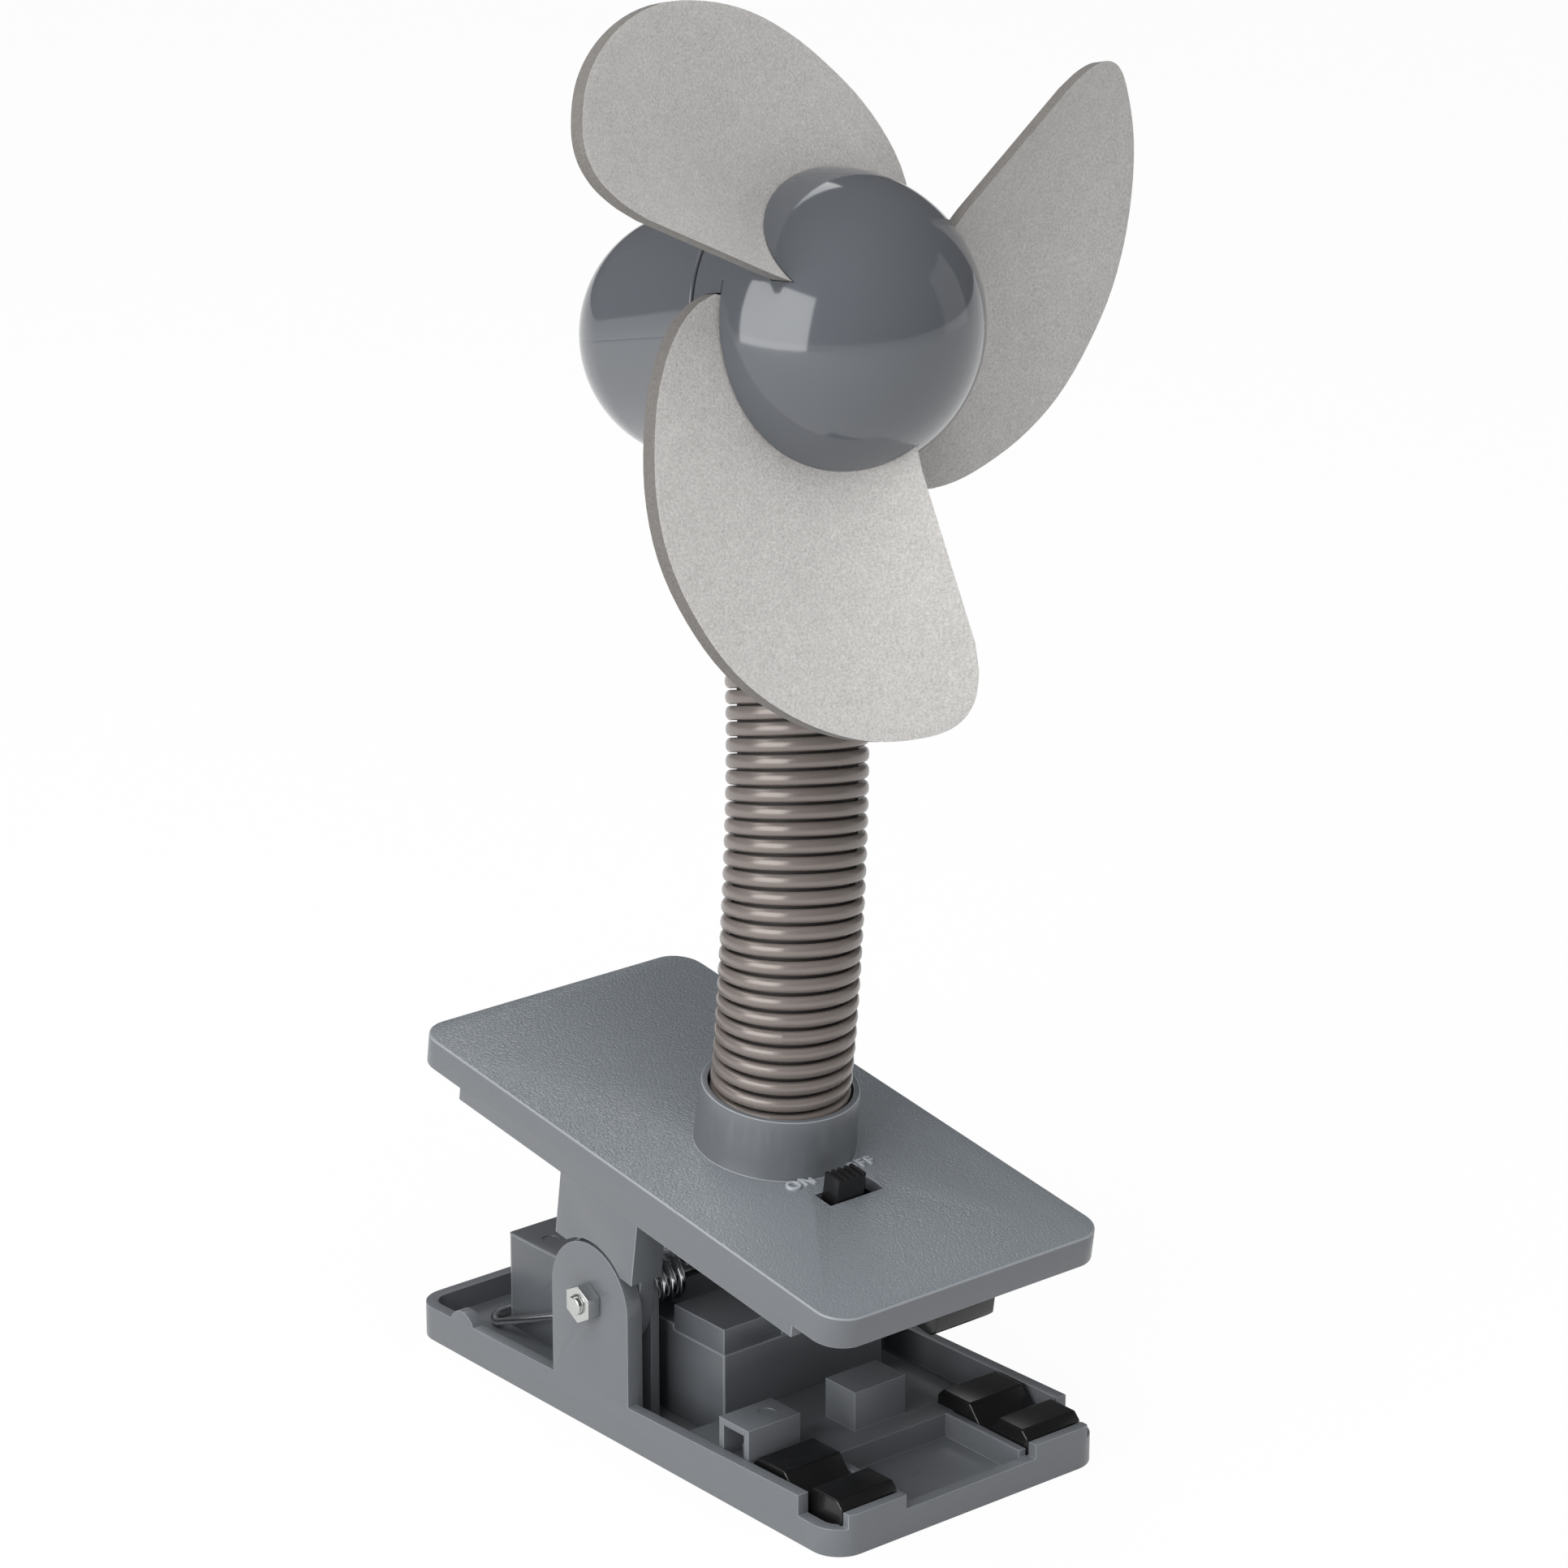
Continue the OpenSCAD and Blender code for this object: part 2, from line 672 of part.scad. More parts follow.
switch_top = plate_top - plate_t;

module switch_body() color("#8d9094") in_upper_jaw() difference() {
    block([-switch_w / 2, slot_y - switch_l / 2, switch_top - switch_h],
        [switch_w / 2, slot_y + switch_l / 2, switch_top]);
    block([-slot_w / 2, slot_y - slot_l / 2, switch_top - knob_base],
        [slot_w / 2, slot_y + slot_l / 2, switch_top + cut]);
}

module switch_pins() color("gainsboro") in_upper_jaw()
    for (i = [-1:1]) block(
        [i * pin_pitch - pin_w / 2, slot_y - pin_t / 2, switch_top - switch_h - pin_len],
        [i * pin_pitch + pin_w / 2, slot_y + pin_t / 2, switch_top - switch_h]);

module switch_knob() color("#19191a") in_upper_jaw() {
    bottom = switch_top - knob_base + slip;
    left = knob_rest - knob_w / 2;
    ridge = knob_w / (2 * ridge_count - 1);
    block([left, slot_y - knob_l / 2, bottom],
        [left + knob_w, slot_y + knob_l / 2, plate_top + knob_proud - ridge_h]);
    for (i = [0:ridge_count - 1]) block(
        [left + 2 * i * ridge, slot_y - knob_l / 2, plate_top + knob_proud - ridge_h],
        [left + (2 * i + 1) * ridge, slot_y + knob_l / 2, plate_top + knob_proud]);
}

// Neck

// A core link in its own frame: a ball at its foot and a cup at its top, except at the neck's ends
module core_link(length, ball, cup) difference() {
    union() {
        drop = core_r * tan(relief_angle);
        rotate_extrude() polygon([
            [0, face_gap], [core_r, face_gap + (ball ? drop : 0)],
            [core_r, length - face_gap - (cup ? drop : 0)], [0, length - face_gap]
        ]);
        if (ball) sphere(ball_r);
    }
    if (cup) translate([0, 0, length]) sphere(ball_r + fit);
}

module neck_core(k) {
    a = neck_point(link_low(k));
    b = neck_point(link_high(k));
    color("#3a3836") along(a, b) core_link(norm(b - a), k > 0, k < joint_count);
}

// The winding runs as one helix over all links, cut where two links meet
turns_per_neck = neck_len / wind_pitch;
cut_share = slip / (PI * neck_d) / turns_per_neck;
function wind_point(share) = let (turn = 360 * turns_per_neck * share)
    neck_point(share) + wind_r * (cos(turn) * neck_x(share) + sin(turn) * neck_y(share));
function wind_path(k) = let (
    low = link_low(k) + (k == 0 ? wind_wire / 2 / neck_len : cut_share),
    high = link_high(k) - (k == joint_count ? wind_wire / 2 / neck_len : cut_share),
    rings = round((high - low) * turns_per_neck * curl_rings)
) [for (i = [-1:rings + 1]) wind_point(low + (high - low) * i / rings)];

module neck_winding(k) color("#7d7672") tube(wind_path(k), wind_wire / 2, neck_dir(link_low(k)), 1);

// Least gap between neighbouring turns, measured between points one turn apart along the whole neck
wind_gaps = [for (i = [0:curl_rings * (floor(turns_per_neck) - 1)]) let (s = i / curl_rings / turns_per_neck)
    norm(wind_point(s + 1 / turns_per_neck) - wind_point(s)) - wind_wire];
spring_gaps = [for (i = [1:coil_rings], j = [i + curl_rings - 1:coil_rings])
    norm(half_spring[j] - half_spring[i]) - spring_wire];
echo(least_gap_of_the_winding = min(wind_gaps), least_gap_of_the_spring = min(spring_gaps));

// Head

// The housing tapers from its front rim and runs smoothly into a round back. It is turned about
// its axis so that no seam of its surfaces lies where the shells meet.
pod_taper = asin((pod_r - pod_back_r) / (pod_front - pod_back));
module pod_solid(inset, front) rotate([0, 0, seam_turn]) {
    r = pod_back_r - inset;
    seam = pod_back + r * sin(pod_taper);
    translate([0, 0, seam]) cylinder(
        r1 = r * cos(pod_taper), r2 = r * cos(pod_taper) + (front - seam) * tan(pod_taper), h = front - seam);
    intersection() {
        translate([0, 0, pod_back]) sphere(r);
        translate([0, 0, seam - 2 * r]) cylinder(r = 2 * r, h = 2 * r);
    }
}

// The neck's boss, seen in the fan's frame
module boss(r, low, high)
    translate([0, low, -hub_forward]) rotate([-90, 0, 0]) cylinder(r = r, h = high - low);

module motor_section(gap) intersection() {
    circle(motor_r + gap);
    square([2 * (motor_r + gap), motor_flat + 2 * gap], center = true);
}

motor_back = -motor_front - motor_len;
boss_low = -head_rise;
boss_high = -head_rise + boss_depth + pod_wall;

module housing() difference() {
    union() {
        difference() {
            pod_solid(0, pod_front);
            pod_solid(pod_wall, pod_front - pod_wall);
        }
        intersection() {
            pod_solid(0, pod_front);
            for (z = [-motor_front - cradle_inset, motor_back + cradle_inset])
                translate([-pod_r, -pod_r, z - cradle_t]) cube([2 * pod_r, 2 * pod_r, cradle_t]);
        }
        boss(boss_r, boss_low, boss_high);
    }
    translate([0, 0, motor_back - cap_len - fit])
        linear_extrude(motor_len + cap_len + 2 * fit) motor_section(fit);
    translate([0, 0, pod_front - pod_wall - cut]) cylinder(r = motor_boss_r + fit, h = pod_wall + 2 * cut);
    boss(bore_r, boss_low - cut, boss_low + boss_depth);
    boss(wire_hole / 2, boss_low, boss_high + cut);
}

// The space above or below the plane where the two shells meet
module half_space(sign)
    translate([-tip_r, sign > 0 ? 0 : -2 * tip_r, -2 * tip_r]) cube([2 * tip_r, 2 * tip_r, 3 * tip_r]);

module housing_upper() color("#6b6f76") in_fan() intersection() {
    housing();
    half_space(1);
}
module housing_lower() color("#6b6f76") in_fan() intersection() {
    housing();
    half_space(-1);
}

module motor_can() color("#a9adb2") in_fan() difference() {
    union() {
        translate([0, 0, motor_back]) linear_extrude(motor_len) motor_section(0);
        translate([0, 0, -motor_front]) cylinder(r = motor_boss_r, h = motor_boss_h);
    }
    translate([0, 0, motor_back - cut])
        cylinder(r = shaft_r + running, h = motor_len + motor_boss_h + 2 * cut);
}

module motor_end_cap() color("#e8e6e0") in_fan()
    translate([0, 0, motor_back - cap_len]) linear_extrude(cap_len) motor_section(-fit);

module motor_terminals() color("#b87333") in_fan() for (s = [-1, 1]) block(
    [s * terminal_x - terminal_w / 2, -terminal_t / 2, motor_back - cap_len - terminal_len],
    [s * terminal_x + terminal_w / 2, terminal_t / 2, motor_back - cap_len]);

// Rotor

module motor_shaft() color("silver") in_fan()
    translate([0, 0, motor_back + fit]) cylinder(r = shaft_r, h = shaft_front - motor_back - fit);

// Height of a blade's front face over the rim plane, where u runs back from the leading edge.
// Outside the hub the face leans forward at the leading edge and back at the trailing one.
function sheet_z(u) = blade_low + sheet_r - sqrt(sheet_r * sheet_r - pow(blade_run - min(u, blade_run), 2));
function blade_z(g, u) = let (r = norm([g, u]))
    let (cone = front_cone + (back_cone - front_cone) * atan2(u, g) / sector)
    r <= hub_r ? sheet_z(u) : sheet_z(u * hub_r / r) + (r - hub_r) * tan(cone);

// Runs its child once for each blade, or for one, with +X along the leading edge and -Y behind it
module at_blade(k) rotate([0, 0, blade_phase + sector * k]) children();

// The space in front of the blade roots, or behind them, within one blade's sector.
// It runs a little past the end where the next one cuts deeper, so the three join cleanly.
module root_space(offset_z, front) {
    top = front ? 2 * hub_r : -hub_r;
    step = blade_run / arc_steps;
    first = front ? sector_overlap : 0;
    last = front ? sector : sector + sector_overlap;
    intersection() {
        translate([-2 * hub_r, 0, 0]) rotate([90, 0, 90]) linear_extrude(4 * hub_r) polygon(concat(
            [[step, 2 * sheet_z(0) - sheet_z(step) + offset_z]],
            [for (i = [1:arc_steps]) [-step * i, sheet_z(step * i) + offset_z]],
            [[-2 * hub_r, sheet_z(blade_run) + offset_z], [-2 * hub_r, top], [step, top]]));
        translate([0, 0, -2 * hub_r]) linear_extrude(5 * hub_r) polygon([
            [0, 0],
            for (i = [0:2]) let (a = first - (first + last) * i / 2) 2 * hub_r * [cos(a), sin(a)]]);
    }
}

module blade_carrier() color("#63676e") in_fan() difference() {
    union() {
        difference() {
            union() {
                translate([0, 0, pod_front + pod_gap]) cylinder(r = hub_r, h = -pod_front - pod_gap);
                sphere(hub_r);
            }
            translate([0, 0, pod_front + pod_gap - 2 * hub_r]) cylinder(r = 2 * hub_r, h = 2 * hub_r);
            for (k = [0:blade_count - 1]) at_blade(k) root_space(-blade_t - fit, true);
            translate([0, 0, stem_bottom - fit]) cylinder(r = hub_boss_r + stem_wall + fit, h = hub_r);
        }
        translate([0, 0, pod_front + pod_gap]) cylinder(r = hub_boss_r, h = hub_boss_h - pod_front - pod_gap);
    }
    translate([0, 0, pod_front - cut]) cylinder(r = shaft_r + running / 2, h = 2 * hub_r);
}

module hub_cap() color("#63676e") in_fan() {
    difference() {
        intersection() {
            rotate([90, 0, seam_turn]) difference() {
                sphere(hub_r);
                sphere(hub_r - cap_wall);
            }
            translate([0, 0, fit]) cylinder(r = 2 * hub_r, h = 2 * hub_r);
        }
        for (k = [0:blade_count - 1]) at_blade(k) root_space(fit, false);
    }
    difference() {
        intersection() {
            sphere(hub_r - cap_wall / 2);
            translate([0, 0, stem_bottom]) cylinder(r = hub_boss_r + stem_wall, h = hub_r);
        }
        translate([0, 0, stem_bottom - cut])
            cylinder(r = hub_boss_r + slip, h = hub_boss_h - stem_bottom + cut + fit);
    }
}

blade_rows = len(blade_edge_shares);
blade_grid = [for (row = blade_edge_shares, j = [0:radial_steps])
    let (r = root_r + (tip_r * row[1] - root_r) * j / radial_steps)
    let (g = r * cos(sector * row[0]), u = r * sin(sector * row[0])) [g, -u, blade_z(g, u)]];
function grid_at(i, j) = i * (radial_steps + 1) + j;

module blade(k) color("#b5b3b0") in_fan() at_blade(k) {
    back = len(blade_grid);
    last = blade_rows - 1;
    points = concat(blade_grid, [for (p = blade_grid) p - [0, 0, blade_t]]);
    sheet = [for (i = [0:last - 1], j = [0:radial_steps - 1]) each [
        [grid_at(i, j), grid_at(i, j + 1), grid_at(i + 1, j + 1)],
        [grid_at(i, j), grid_at(i + 1, j + 1), grid_at(i + 1, j)]]];
    rim = concat(
        [for (j = [0:radial_steps - 1]) [grid_at(0, j + 1), grid_at(0, j)]],
        [for (i = [0:last - 1]) [grid_at(i, 0), grid_at(i + 1, 0)]],
        [for (j = [0:radial_steps - 1]) [grid_at(last, j), grid_at(last, j + 1)]],
        [for (i = [0:last - 1]) [grid_at(i + 1, radial_steps), grid_at(i, radial_steps)]]);
    polyhedron(points, concat(
        sheet,
        [for (f = sheet) [f[2] + back, f[1] + back, f[0] + back]],
        [for (e = rim) each [[e[0], e[1], e[1] + back], [e[0], e[1] + back, e[0] + back]]]), convexity = 6);
}

module blade_1() blade(0);
module blade_2() blade(1);
module blade_3() blade(2);

lower_jaw();
battery_box();
battery_box_lid();
battery_door();
door_screw();
battery_cells();
battery_contacts();
lower_pad_left();
lower_pad_right();
pivot_bolt();
pivot_nut();
torsion_spring();
upper_jaw();
upper_pad();
switch_body();
switch_pins();
switch_knob();
neck_core(0);  // neck_core_0
neck_core(1);  // neck_core_1
neck_core(2);  // neck_core_2
neck_core(3);  // neck_core_3
neck_core(4);  // neck_core_4
neck_core(5);  // neck_core_5
neck_core(6);  // neck_core_6
neck_core(7);  // neck_core_7
neck_core(8);  // neck_core_8
neck_winding(0);  // neck_winding_0
neck_winding(1);  // neck_winding_1
neck_winding(2);  // neck_winding_2
neck_winding(3);  // neck_winding_3
neck_winding(4);  // neck_winding_4
neck_winding(5);  // neck_winding_5
neck_winding(6);  // neck_winding_6
neck_winding(7);  // neck_winding_7
neck_winding(8);  // neck_winding_8
housing_upper();
housing_lower();
motor_can();
motor_end_cap();
motor_terminals();
motor_shaft();
blade_carrier();
hub_cap();
blade_1();
blade_2();
blade_3();
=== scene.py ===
import math

import bmesh
import bpy
from mathutils import Matrix, Vector


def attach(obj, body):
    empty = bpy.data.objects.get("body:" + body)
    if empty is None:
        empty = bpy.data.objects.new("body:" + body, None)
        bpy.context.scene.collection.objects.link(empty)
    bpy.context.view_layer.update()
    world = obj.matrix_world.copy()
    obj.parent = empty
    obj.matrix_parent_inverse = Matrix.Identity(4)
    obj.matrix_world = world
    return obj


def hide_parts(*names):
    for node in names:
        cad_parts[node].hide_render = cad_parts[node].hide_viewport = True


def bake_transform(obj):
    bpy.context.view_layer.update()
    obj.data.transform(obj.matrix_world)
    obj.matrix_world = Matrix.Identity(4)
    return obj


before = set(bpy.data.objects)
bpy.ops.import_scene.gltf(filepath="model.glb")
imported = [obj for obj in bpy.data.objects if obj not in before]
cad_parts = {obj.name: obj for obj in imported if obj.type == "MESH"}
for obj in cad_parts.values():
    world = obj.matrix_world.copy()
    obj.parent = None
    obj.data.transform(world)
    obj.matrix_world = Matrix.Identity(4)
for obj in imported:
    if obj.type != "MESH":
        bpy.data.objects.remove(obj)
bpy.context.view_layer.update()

MM = 0.001

# Sizes in millimetres and degrees, as in the part's source
PIVOT_Z, JAW_TILT = 21.8, 8.1
PLATE_TOP, PLATE_T = 25.1, 2.2
PLATE_HALF_W, PLATE_FRONT, PLATE_REAR, PLATE_CORNER = 27, -56.2, 48.1, 5
COLLAR_Y, COLLAR_H = -8.9, 10
NECK_LEN, NECK_D = 92.6, 21.9
WIND_PITCH, SIDE_LEAN, LEAN_POWER = 2.5, 10.5, 2.8
WIND_BELOW, WIND_ABOVE = 15.9, 8.3
HEAD_PITCH, HEAD_YAW = 14.3, 2.7
PATH_STEPS = 96
JOINTS = 8
HUB_R, HUB_FORWARD, HEAD_RISE = 23.15, 17.5, 24.2
POD_R, POD_BACK_R, POD_LEN, POD_FRONT = 22.9, 19.2, 29, -5.0
BORE_R, BOSS_R = 11.3, 12.3
TIP_R, ROOT_R, BLADE_T = 62, 14, 2.6
BLADE_LOW, BLADE_RISE, BLADE_RUN = 1.2, 11.7, 25
FRONT_CONE, BACK_CONE = 7, -16
BLADE_PHASE, SECTOR, BLADES = 155.4, 120, 3
GAP = 0.3
EDGE_SHARES = [
    (0.004, 0.8), (0.01, 0.87), (0.025, 0.94), (0.052, 0.985), (0.095, 1), (0.155, 0.998),
    (0.235, 0.965), (0.32, 0.91), (0.4, 0.84), (0.485, 0.765), (0.57, 0.685), (0.65, 0.615),
    (0.735, 0.555), (0.81, 0.505), (0.87, 0.465), (0.92, 0.425), (0.955, 0.385)]


# Frames

def turn(axis, degrees):
    return Matrix.Rotation(math.radians(degrees), 4, axis)


def shift(x, y, z):
    return Matrix.Translation((x, y, z))


IN_JAW = shift(0, 0, PIVOT_Z) @ turn("X", JAW_TILT)


def clamp(share):
    return max(0.0, min(1.0, share))


def neck_angles(share):
    lean = -JAW_TILT + (HEAD_PITCH + JAW_TILT) * (1 - (1 - clamp(share)) ** LEAN_POWER)
    side = SIDE_LEAN * math.sin(math.pi * clamp(share))
    return math.radians(lean), math.radians(side)


def neck_axes(share):
    a, b = neck_angles(share)
    x = Vector((math.cos(b), -math.sin(b) * math.sin(a), -math.sin(b) * math.cos(a)))
    y = Vector((0, math.cos(a), -math.sin(a)))
    z = Vector((math.sin(b), math.sin(a) * math.cos(b), math.cos(a) * math.cos(b)))
    return x, y, z


NECK_PATH = [IN_JAW @ Vector((0, COLLAR_Y, PLATE_TOP + COLLAR_H))]
for step in range(PATH_STEPS):
    along_neck = neck_axes((step + 0.5) / PATH_STEPS)[2]
    NECK_PATH.append(NECK_PATH[-1] + NECK_LEN / PATH_STEPS * along_neck)


def neck_point(share):
    """A point of the neck's middle line, which runs on straight past both ends."""
    if share <= 0:
        return NECK_PATH[0] + NECK_LEN * share * neck_axes(0)[2]
    if share >= 1:
        return NECK_PATH[-1] + NECK_LEN * (share - 1) * neck_axes(1)[2]
    k = int(share * PATH_STEPS)
    return NECK_PATH[k].lerp(NECK_PATH[min(PATH_STEPS, k + 1)], share * PATH_STEPS - k)


IN_HEAD = shift(*NECK_PATH[-1]) @ turn("X", -HEAD_PITCH) @ turn("Z", HEAD_YAW)
IN_FAN = IN_HEAD @ shift(0, -HUB_FORWARD, HEAD_RISE) @ turn("X", 90)


# Materials

FLOAT, COLOUR = "NodeSocketFloat", "NodeSocketColor"


def linear(code):
    """A colour written as #rrggbb, as the linear values that shader sockets take."""
    parts = [int(code[i:i + 2], 16) / 255 for i in (1, 3, 5)]
    return tuple(c / 12.92 if c <= 0.04045 else ((c + 0.055) / 1.055) ** 2.4 for c in parts) + (1,)


def new_group(name, inputs, outputs):
    group = bpy.data.node_groups.new(name, "ShaderNodeTree")
    for socket, kind in inputs:
        group.interface.new_socket(name=socket, in_out="INPUT", socket_type=kind)
    for socket, kind in outputs:
        group.interface.new_socket(name=socket, in_out="OUTPUT", socket_type=kind)
    return group, group.nodes.new("NodeGroupInput"), group.nodes.new("NodeGroupOutput")


def feed(tree, socket, value):
    """Gives a socket a link or a plain value."""
    if isinstance(value, bpy.types.NodeSocket):
        tree.links.new(value, socket)
    else:
        socket.default_value = value


def noise(tree, scale, detail, rough=0.55):
    node = tree.nodes.new("ShaderNodeTexNoise")
    node.inputs["Detail"].default_value = detail
    node.inputs["Roughness"].default_value = rough
    coords = tree.nodes.new("ShaderNodeTexCoord")
    tree.links.new(coords.outputs["Object"], node.inputs["Vector"])
    feed(tree, node.inputs["Scale"], scale)
    return node.outputs["Fac"]


def math_node(tree, operation, *values):
    node = tree.nodes.new("ShaderNodeMath")
    node.operation = operation
    for i, value in enumerate(values):
        feed(tree, node.inputs[i], value)
    return node.outputs[0]


def scaled(tree, vector, factor):
    """A colour or a vector times a factor."""
    node = tree.nodes.new("ShaderNodeVectorMath")
    node.operation = "SCALE"
    tree.links.new(vector, node.inputs[0])
    feed(tree, node.inputs["Scale"], factor)
    return node.outputs[0]


def swing(tree, fac, amount):
    """1 plus the noise's departure from its middle, times the amount."""
    return math_node(tree, "ADD", math_node(
        tree, "MULTIPLY", math_node(tree, "SUBTRACT", fac, 0.5), amount), 1.0)


def mould_texture():
    """Moulded plastic: cloudy tone, cloudy gloss and a fine grain."""
    fine_share, gloss_scale = 0.4, 2.7
    tree, given, out = new_group(
        "mould_texture",
        [("Colour", COLOUR), ("Shade Swing", FLOAT), ("Patch Scale", FLOAT), ("Roughness", FLOAT),
         ("Rough Swing", FLOAT), ("Grain Scale", FLOAT)],
        [("Colour", COLOUR), ("Roughness", FLOAT), ("Height", FLOAT)])
    patch = noise(tree, given.outputs["Patch Scale"], 4)
    fine = noise(tree, given.outputs["Grain Scale"], 3)
    fine_swing = math_node(tree, "MULTIPLY", given.outputs["Shade Swing"], fine_share)
    shade = math_node(tree, "MULTIPLY", swing(tree, patch, given.outputs["Shade Swing"]),
                      swing(tree, fine, fine_swing))
    tree.links.new(scaled(tree, given.outputs["Colour"], shade), out.inputs["Colour"])
    gloss = noise(tree, math_node(tree, "MULTIPLY", given.outputs["Patch Scale"], gloss_scale), 5)
    rough = math_node(tree, "MULTIPLY", given.outputs["Roughness"],
                      swing(tree, gloss, given.outputs["Rough Swing"]))
    tree.links.new(rough, out.inputs["Roughness"])
    tree.links.new(fine, out.inputs["Height"])
    return tree


def pebble_texture():
    """The plate's leather-like grain: rounded pebbles with narrow valleys."""
    stir_scale, stir_by = 700, 0.0008
    tree, given, out = new_group("pebble_texture", [("Scale", FLOAT)], [("Height", FLOAT)])
    cells = tree.nodes.new("ShaderNodeTexVoronoi")
    cells.feature = "SMOOTH_F1"
    cells.inputs["Smoothness"].default_value = 0.6
    coords = tree.nodes.new("ShaderNodeTexCoord")
    stir = tree.nodes.new("ShaderNodeTexNoise")
    stir.inputs["Scale"].default_value = stir_scale
    tree.links.new(coords.outputs["Object"], stir.inputs["Vector"])
    warp = tree.nodes.new("ShaderNodeVectorMath")
    warp.operation = "ADD"
    tree.links.new(coords.outputs["Object"], warp.inputs[0])
    tree.links.new(scaled(tree, stir.outputs["Color"], stir_by), warp.inputs[1])
    tree.links.new(warp.outputs[0], cells.inputs["Vector"])
    tree.links.new(given.outputs["Scale"], cells.inputs["Scale"])
    dome = math_node(tree, "SUBTRACT", 1.0, cells.outputs["Distance"])
    tree.links.new(dome, out.inputs["Height"])
    return tree


def speckle_texture():
    """Closed-cell foam: small pits of uneven tone over a soft mottled skin."""
    cloud_scale, cloud_swing = 60, 0.12
    mottle_scale, mottle_swing = 420, 0.16
    roughness, rough_swing = 0.86, 0.2
    tree, given, out = new_group(
        "speckle_texture", [("Colour", COLOUR), ("Pit Scale", FLOAT), ("Pit Depth", FLOAT)],
        [("Colour", COLOUR), ("Height", FLOAT), ("Roughness", FLOAT)])
    pits = noise(tree, given.outputs["Pit Scale"], 2, 0.7)
    clouds = noise(tree, cloud_scale, 4)
    mottle = noise(tree, mottle_scale, 3)
    low = math_node(tree, "MULTIPLY", math_node(tree, "SUBTRACT", pits, 0.5),
                    given.outputs["Pit Depth"])
    skin = math_node(tree, "MULTIPLY", swing(tree, clouds, cloud_swing),
                     swing(tree, mottle, mottle_swing))
    tone = math_node(tree, "ADD", skin, low)
    tree.links.new(scaled(tree, given.outputs["Colour"], tone), out.inputs["Colour"])
    tree.links.new(pits, out.inputs["Height"])
    rough = math_node(tree, "MULTIPLY", roughness, swing(tree, mottle, rough_swing))
    tree.links.new(rough, out.inputs["Roughness"])
    return tree


MOULD, PEBBLE, SPECKLE = mould_texture(), pebble_texture(), speckle_texture()


def new_material(name, colour):
    material = bpy.data.materials.new(name)
    material.use_nodes = True
    material.diffuse_color = linear(colour)
    shader = material.node_tree.nodes["Principled BSDF"]
    return material, material.node_tree, shader


def textured(tree, shader, group, values):
    """Places a texture group and lets it drive the shader's colour and roughness."""
    node = tree.nodes.new("ShaderNodeGroup")
    node.node_tree = group
    for socket, value in values.items():
        node.inputs[socket].default_value = value
    if shader:
        tree.links.new(node.outputs["Colour"], shader.inputs["Base Color"])
        tree.links.new(node.outputs["Roughness"], shader.inputs["Roughness"])
    return node.outputs["Height"]


def bump(tree, height, depth, under=None):
    node = tree.nodes.new("ShaderNodeBump")
    node.inputs["Distance"].default_value = depth
    tree.links.new(height, node.inputs["Height"])
    if under:
        tree.links.new(under, node.inputs["Normal"])
    return node.outputs["Normal"]


def plastic(name, colour, rough, shade_swing=0.06, rough_swing=0.3, patch=45, grain=1400,
            depth=0.00002, metallic=0.0, coat=0.0):
    """A moulded or drawn material on the mould texture, with its grain's depth in metres."""
    material, tree, shader = new_material(name, colour)
    shader.inputs["Metallic"].default_value = metallic
    shader.inputs["Coat Weight"].default_value = coat
    shader.inputs["Coat Roughness"].default_value = 0.08
    height = textured(tree, shader, MOULD, {
        "Colour": linear(colour), "Shade Swing": shade_swing, "Patch Scale": patch,
        "Roughness": rough, "Rough Swing": rough_swing, "Grain Scale": grain})
    tree.links.new(bump(tree, height, depth), shader.inputs["Normal"])
    return material


def pebbled(name, colour, rough):
    """The plate's grained top: pebbles over the fine grain of its plastic, in a grey lighter than the
    clip's as painted light on the top face.
    """
    pebble_scale, pebble_depth, grain_depth = 2500, 0.00009, 0.00002
    material, tree, shader = new_material(name, colour)
    fine = textured(tree, shader, MOULD, {
        "Colour": linear(colour), "Shade Swing": 0.05, "Patch Scale": 40,
        "Roughness": rough, "Rough Swing": 0.25, "Grain Scale": 1800})
    pebbles = textured(tree, None, PEBBLE, {"Scale": pebble_scale})
    normal = bump(tree, pebbles, pebble_depth, bump(tree, fine, grain_depth))
    tree.links.new(normal, shader.inputs["Normal"])
    return material


def foam(name, colour, pit_depth):
    pit_scale, skin_depth = 2600, 0.00012
    material, tree, shader = new_material(name, colour)
    shader.inputs["Specular IOR Level"].default_value = 0.25
    shader.inputs["Sheen Weight"].default_value = 0.08
    height = textured(tree, shader, SPECKLE, {
        "Colour": linear(colour), "Pit Scale": pit_scale, "Pit Depth": pit_depth})
    tree.links.new(bump(tree, height, skin_depth), shader.inputs["Normal"])
    return material


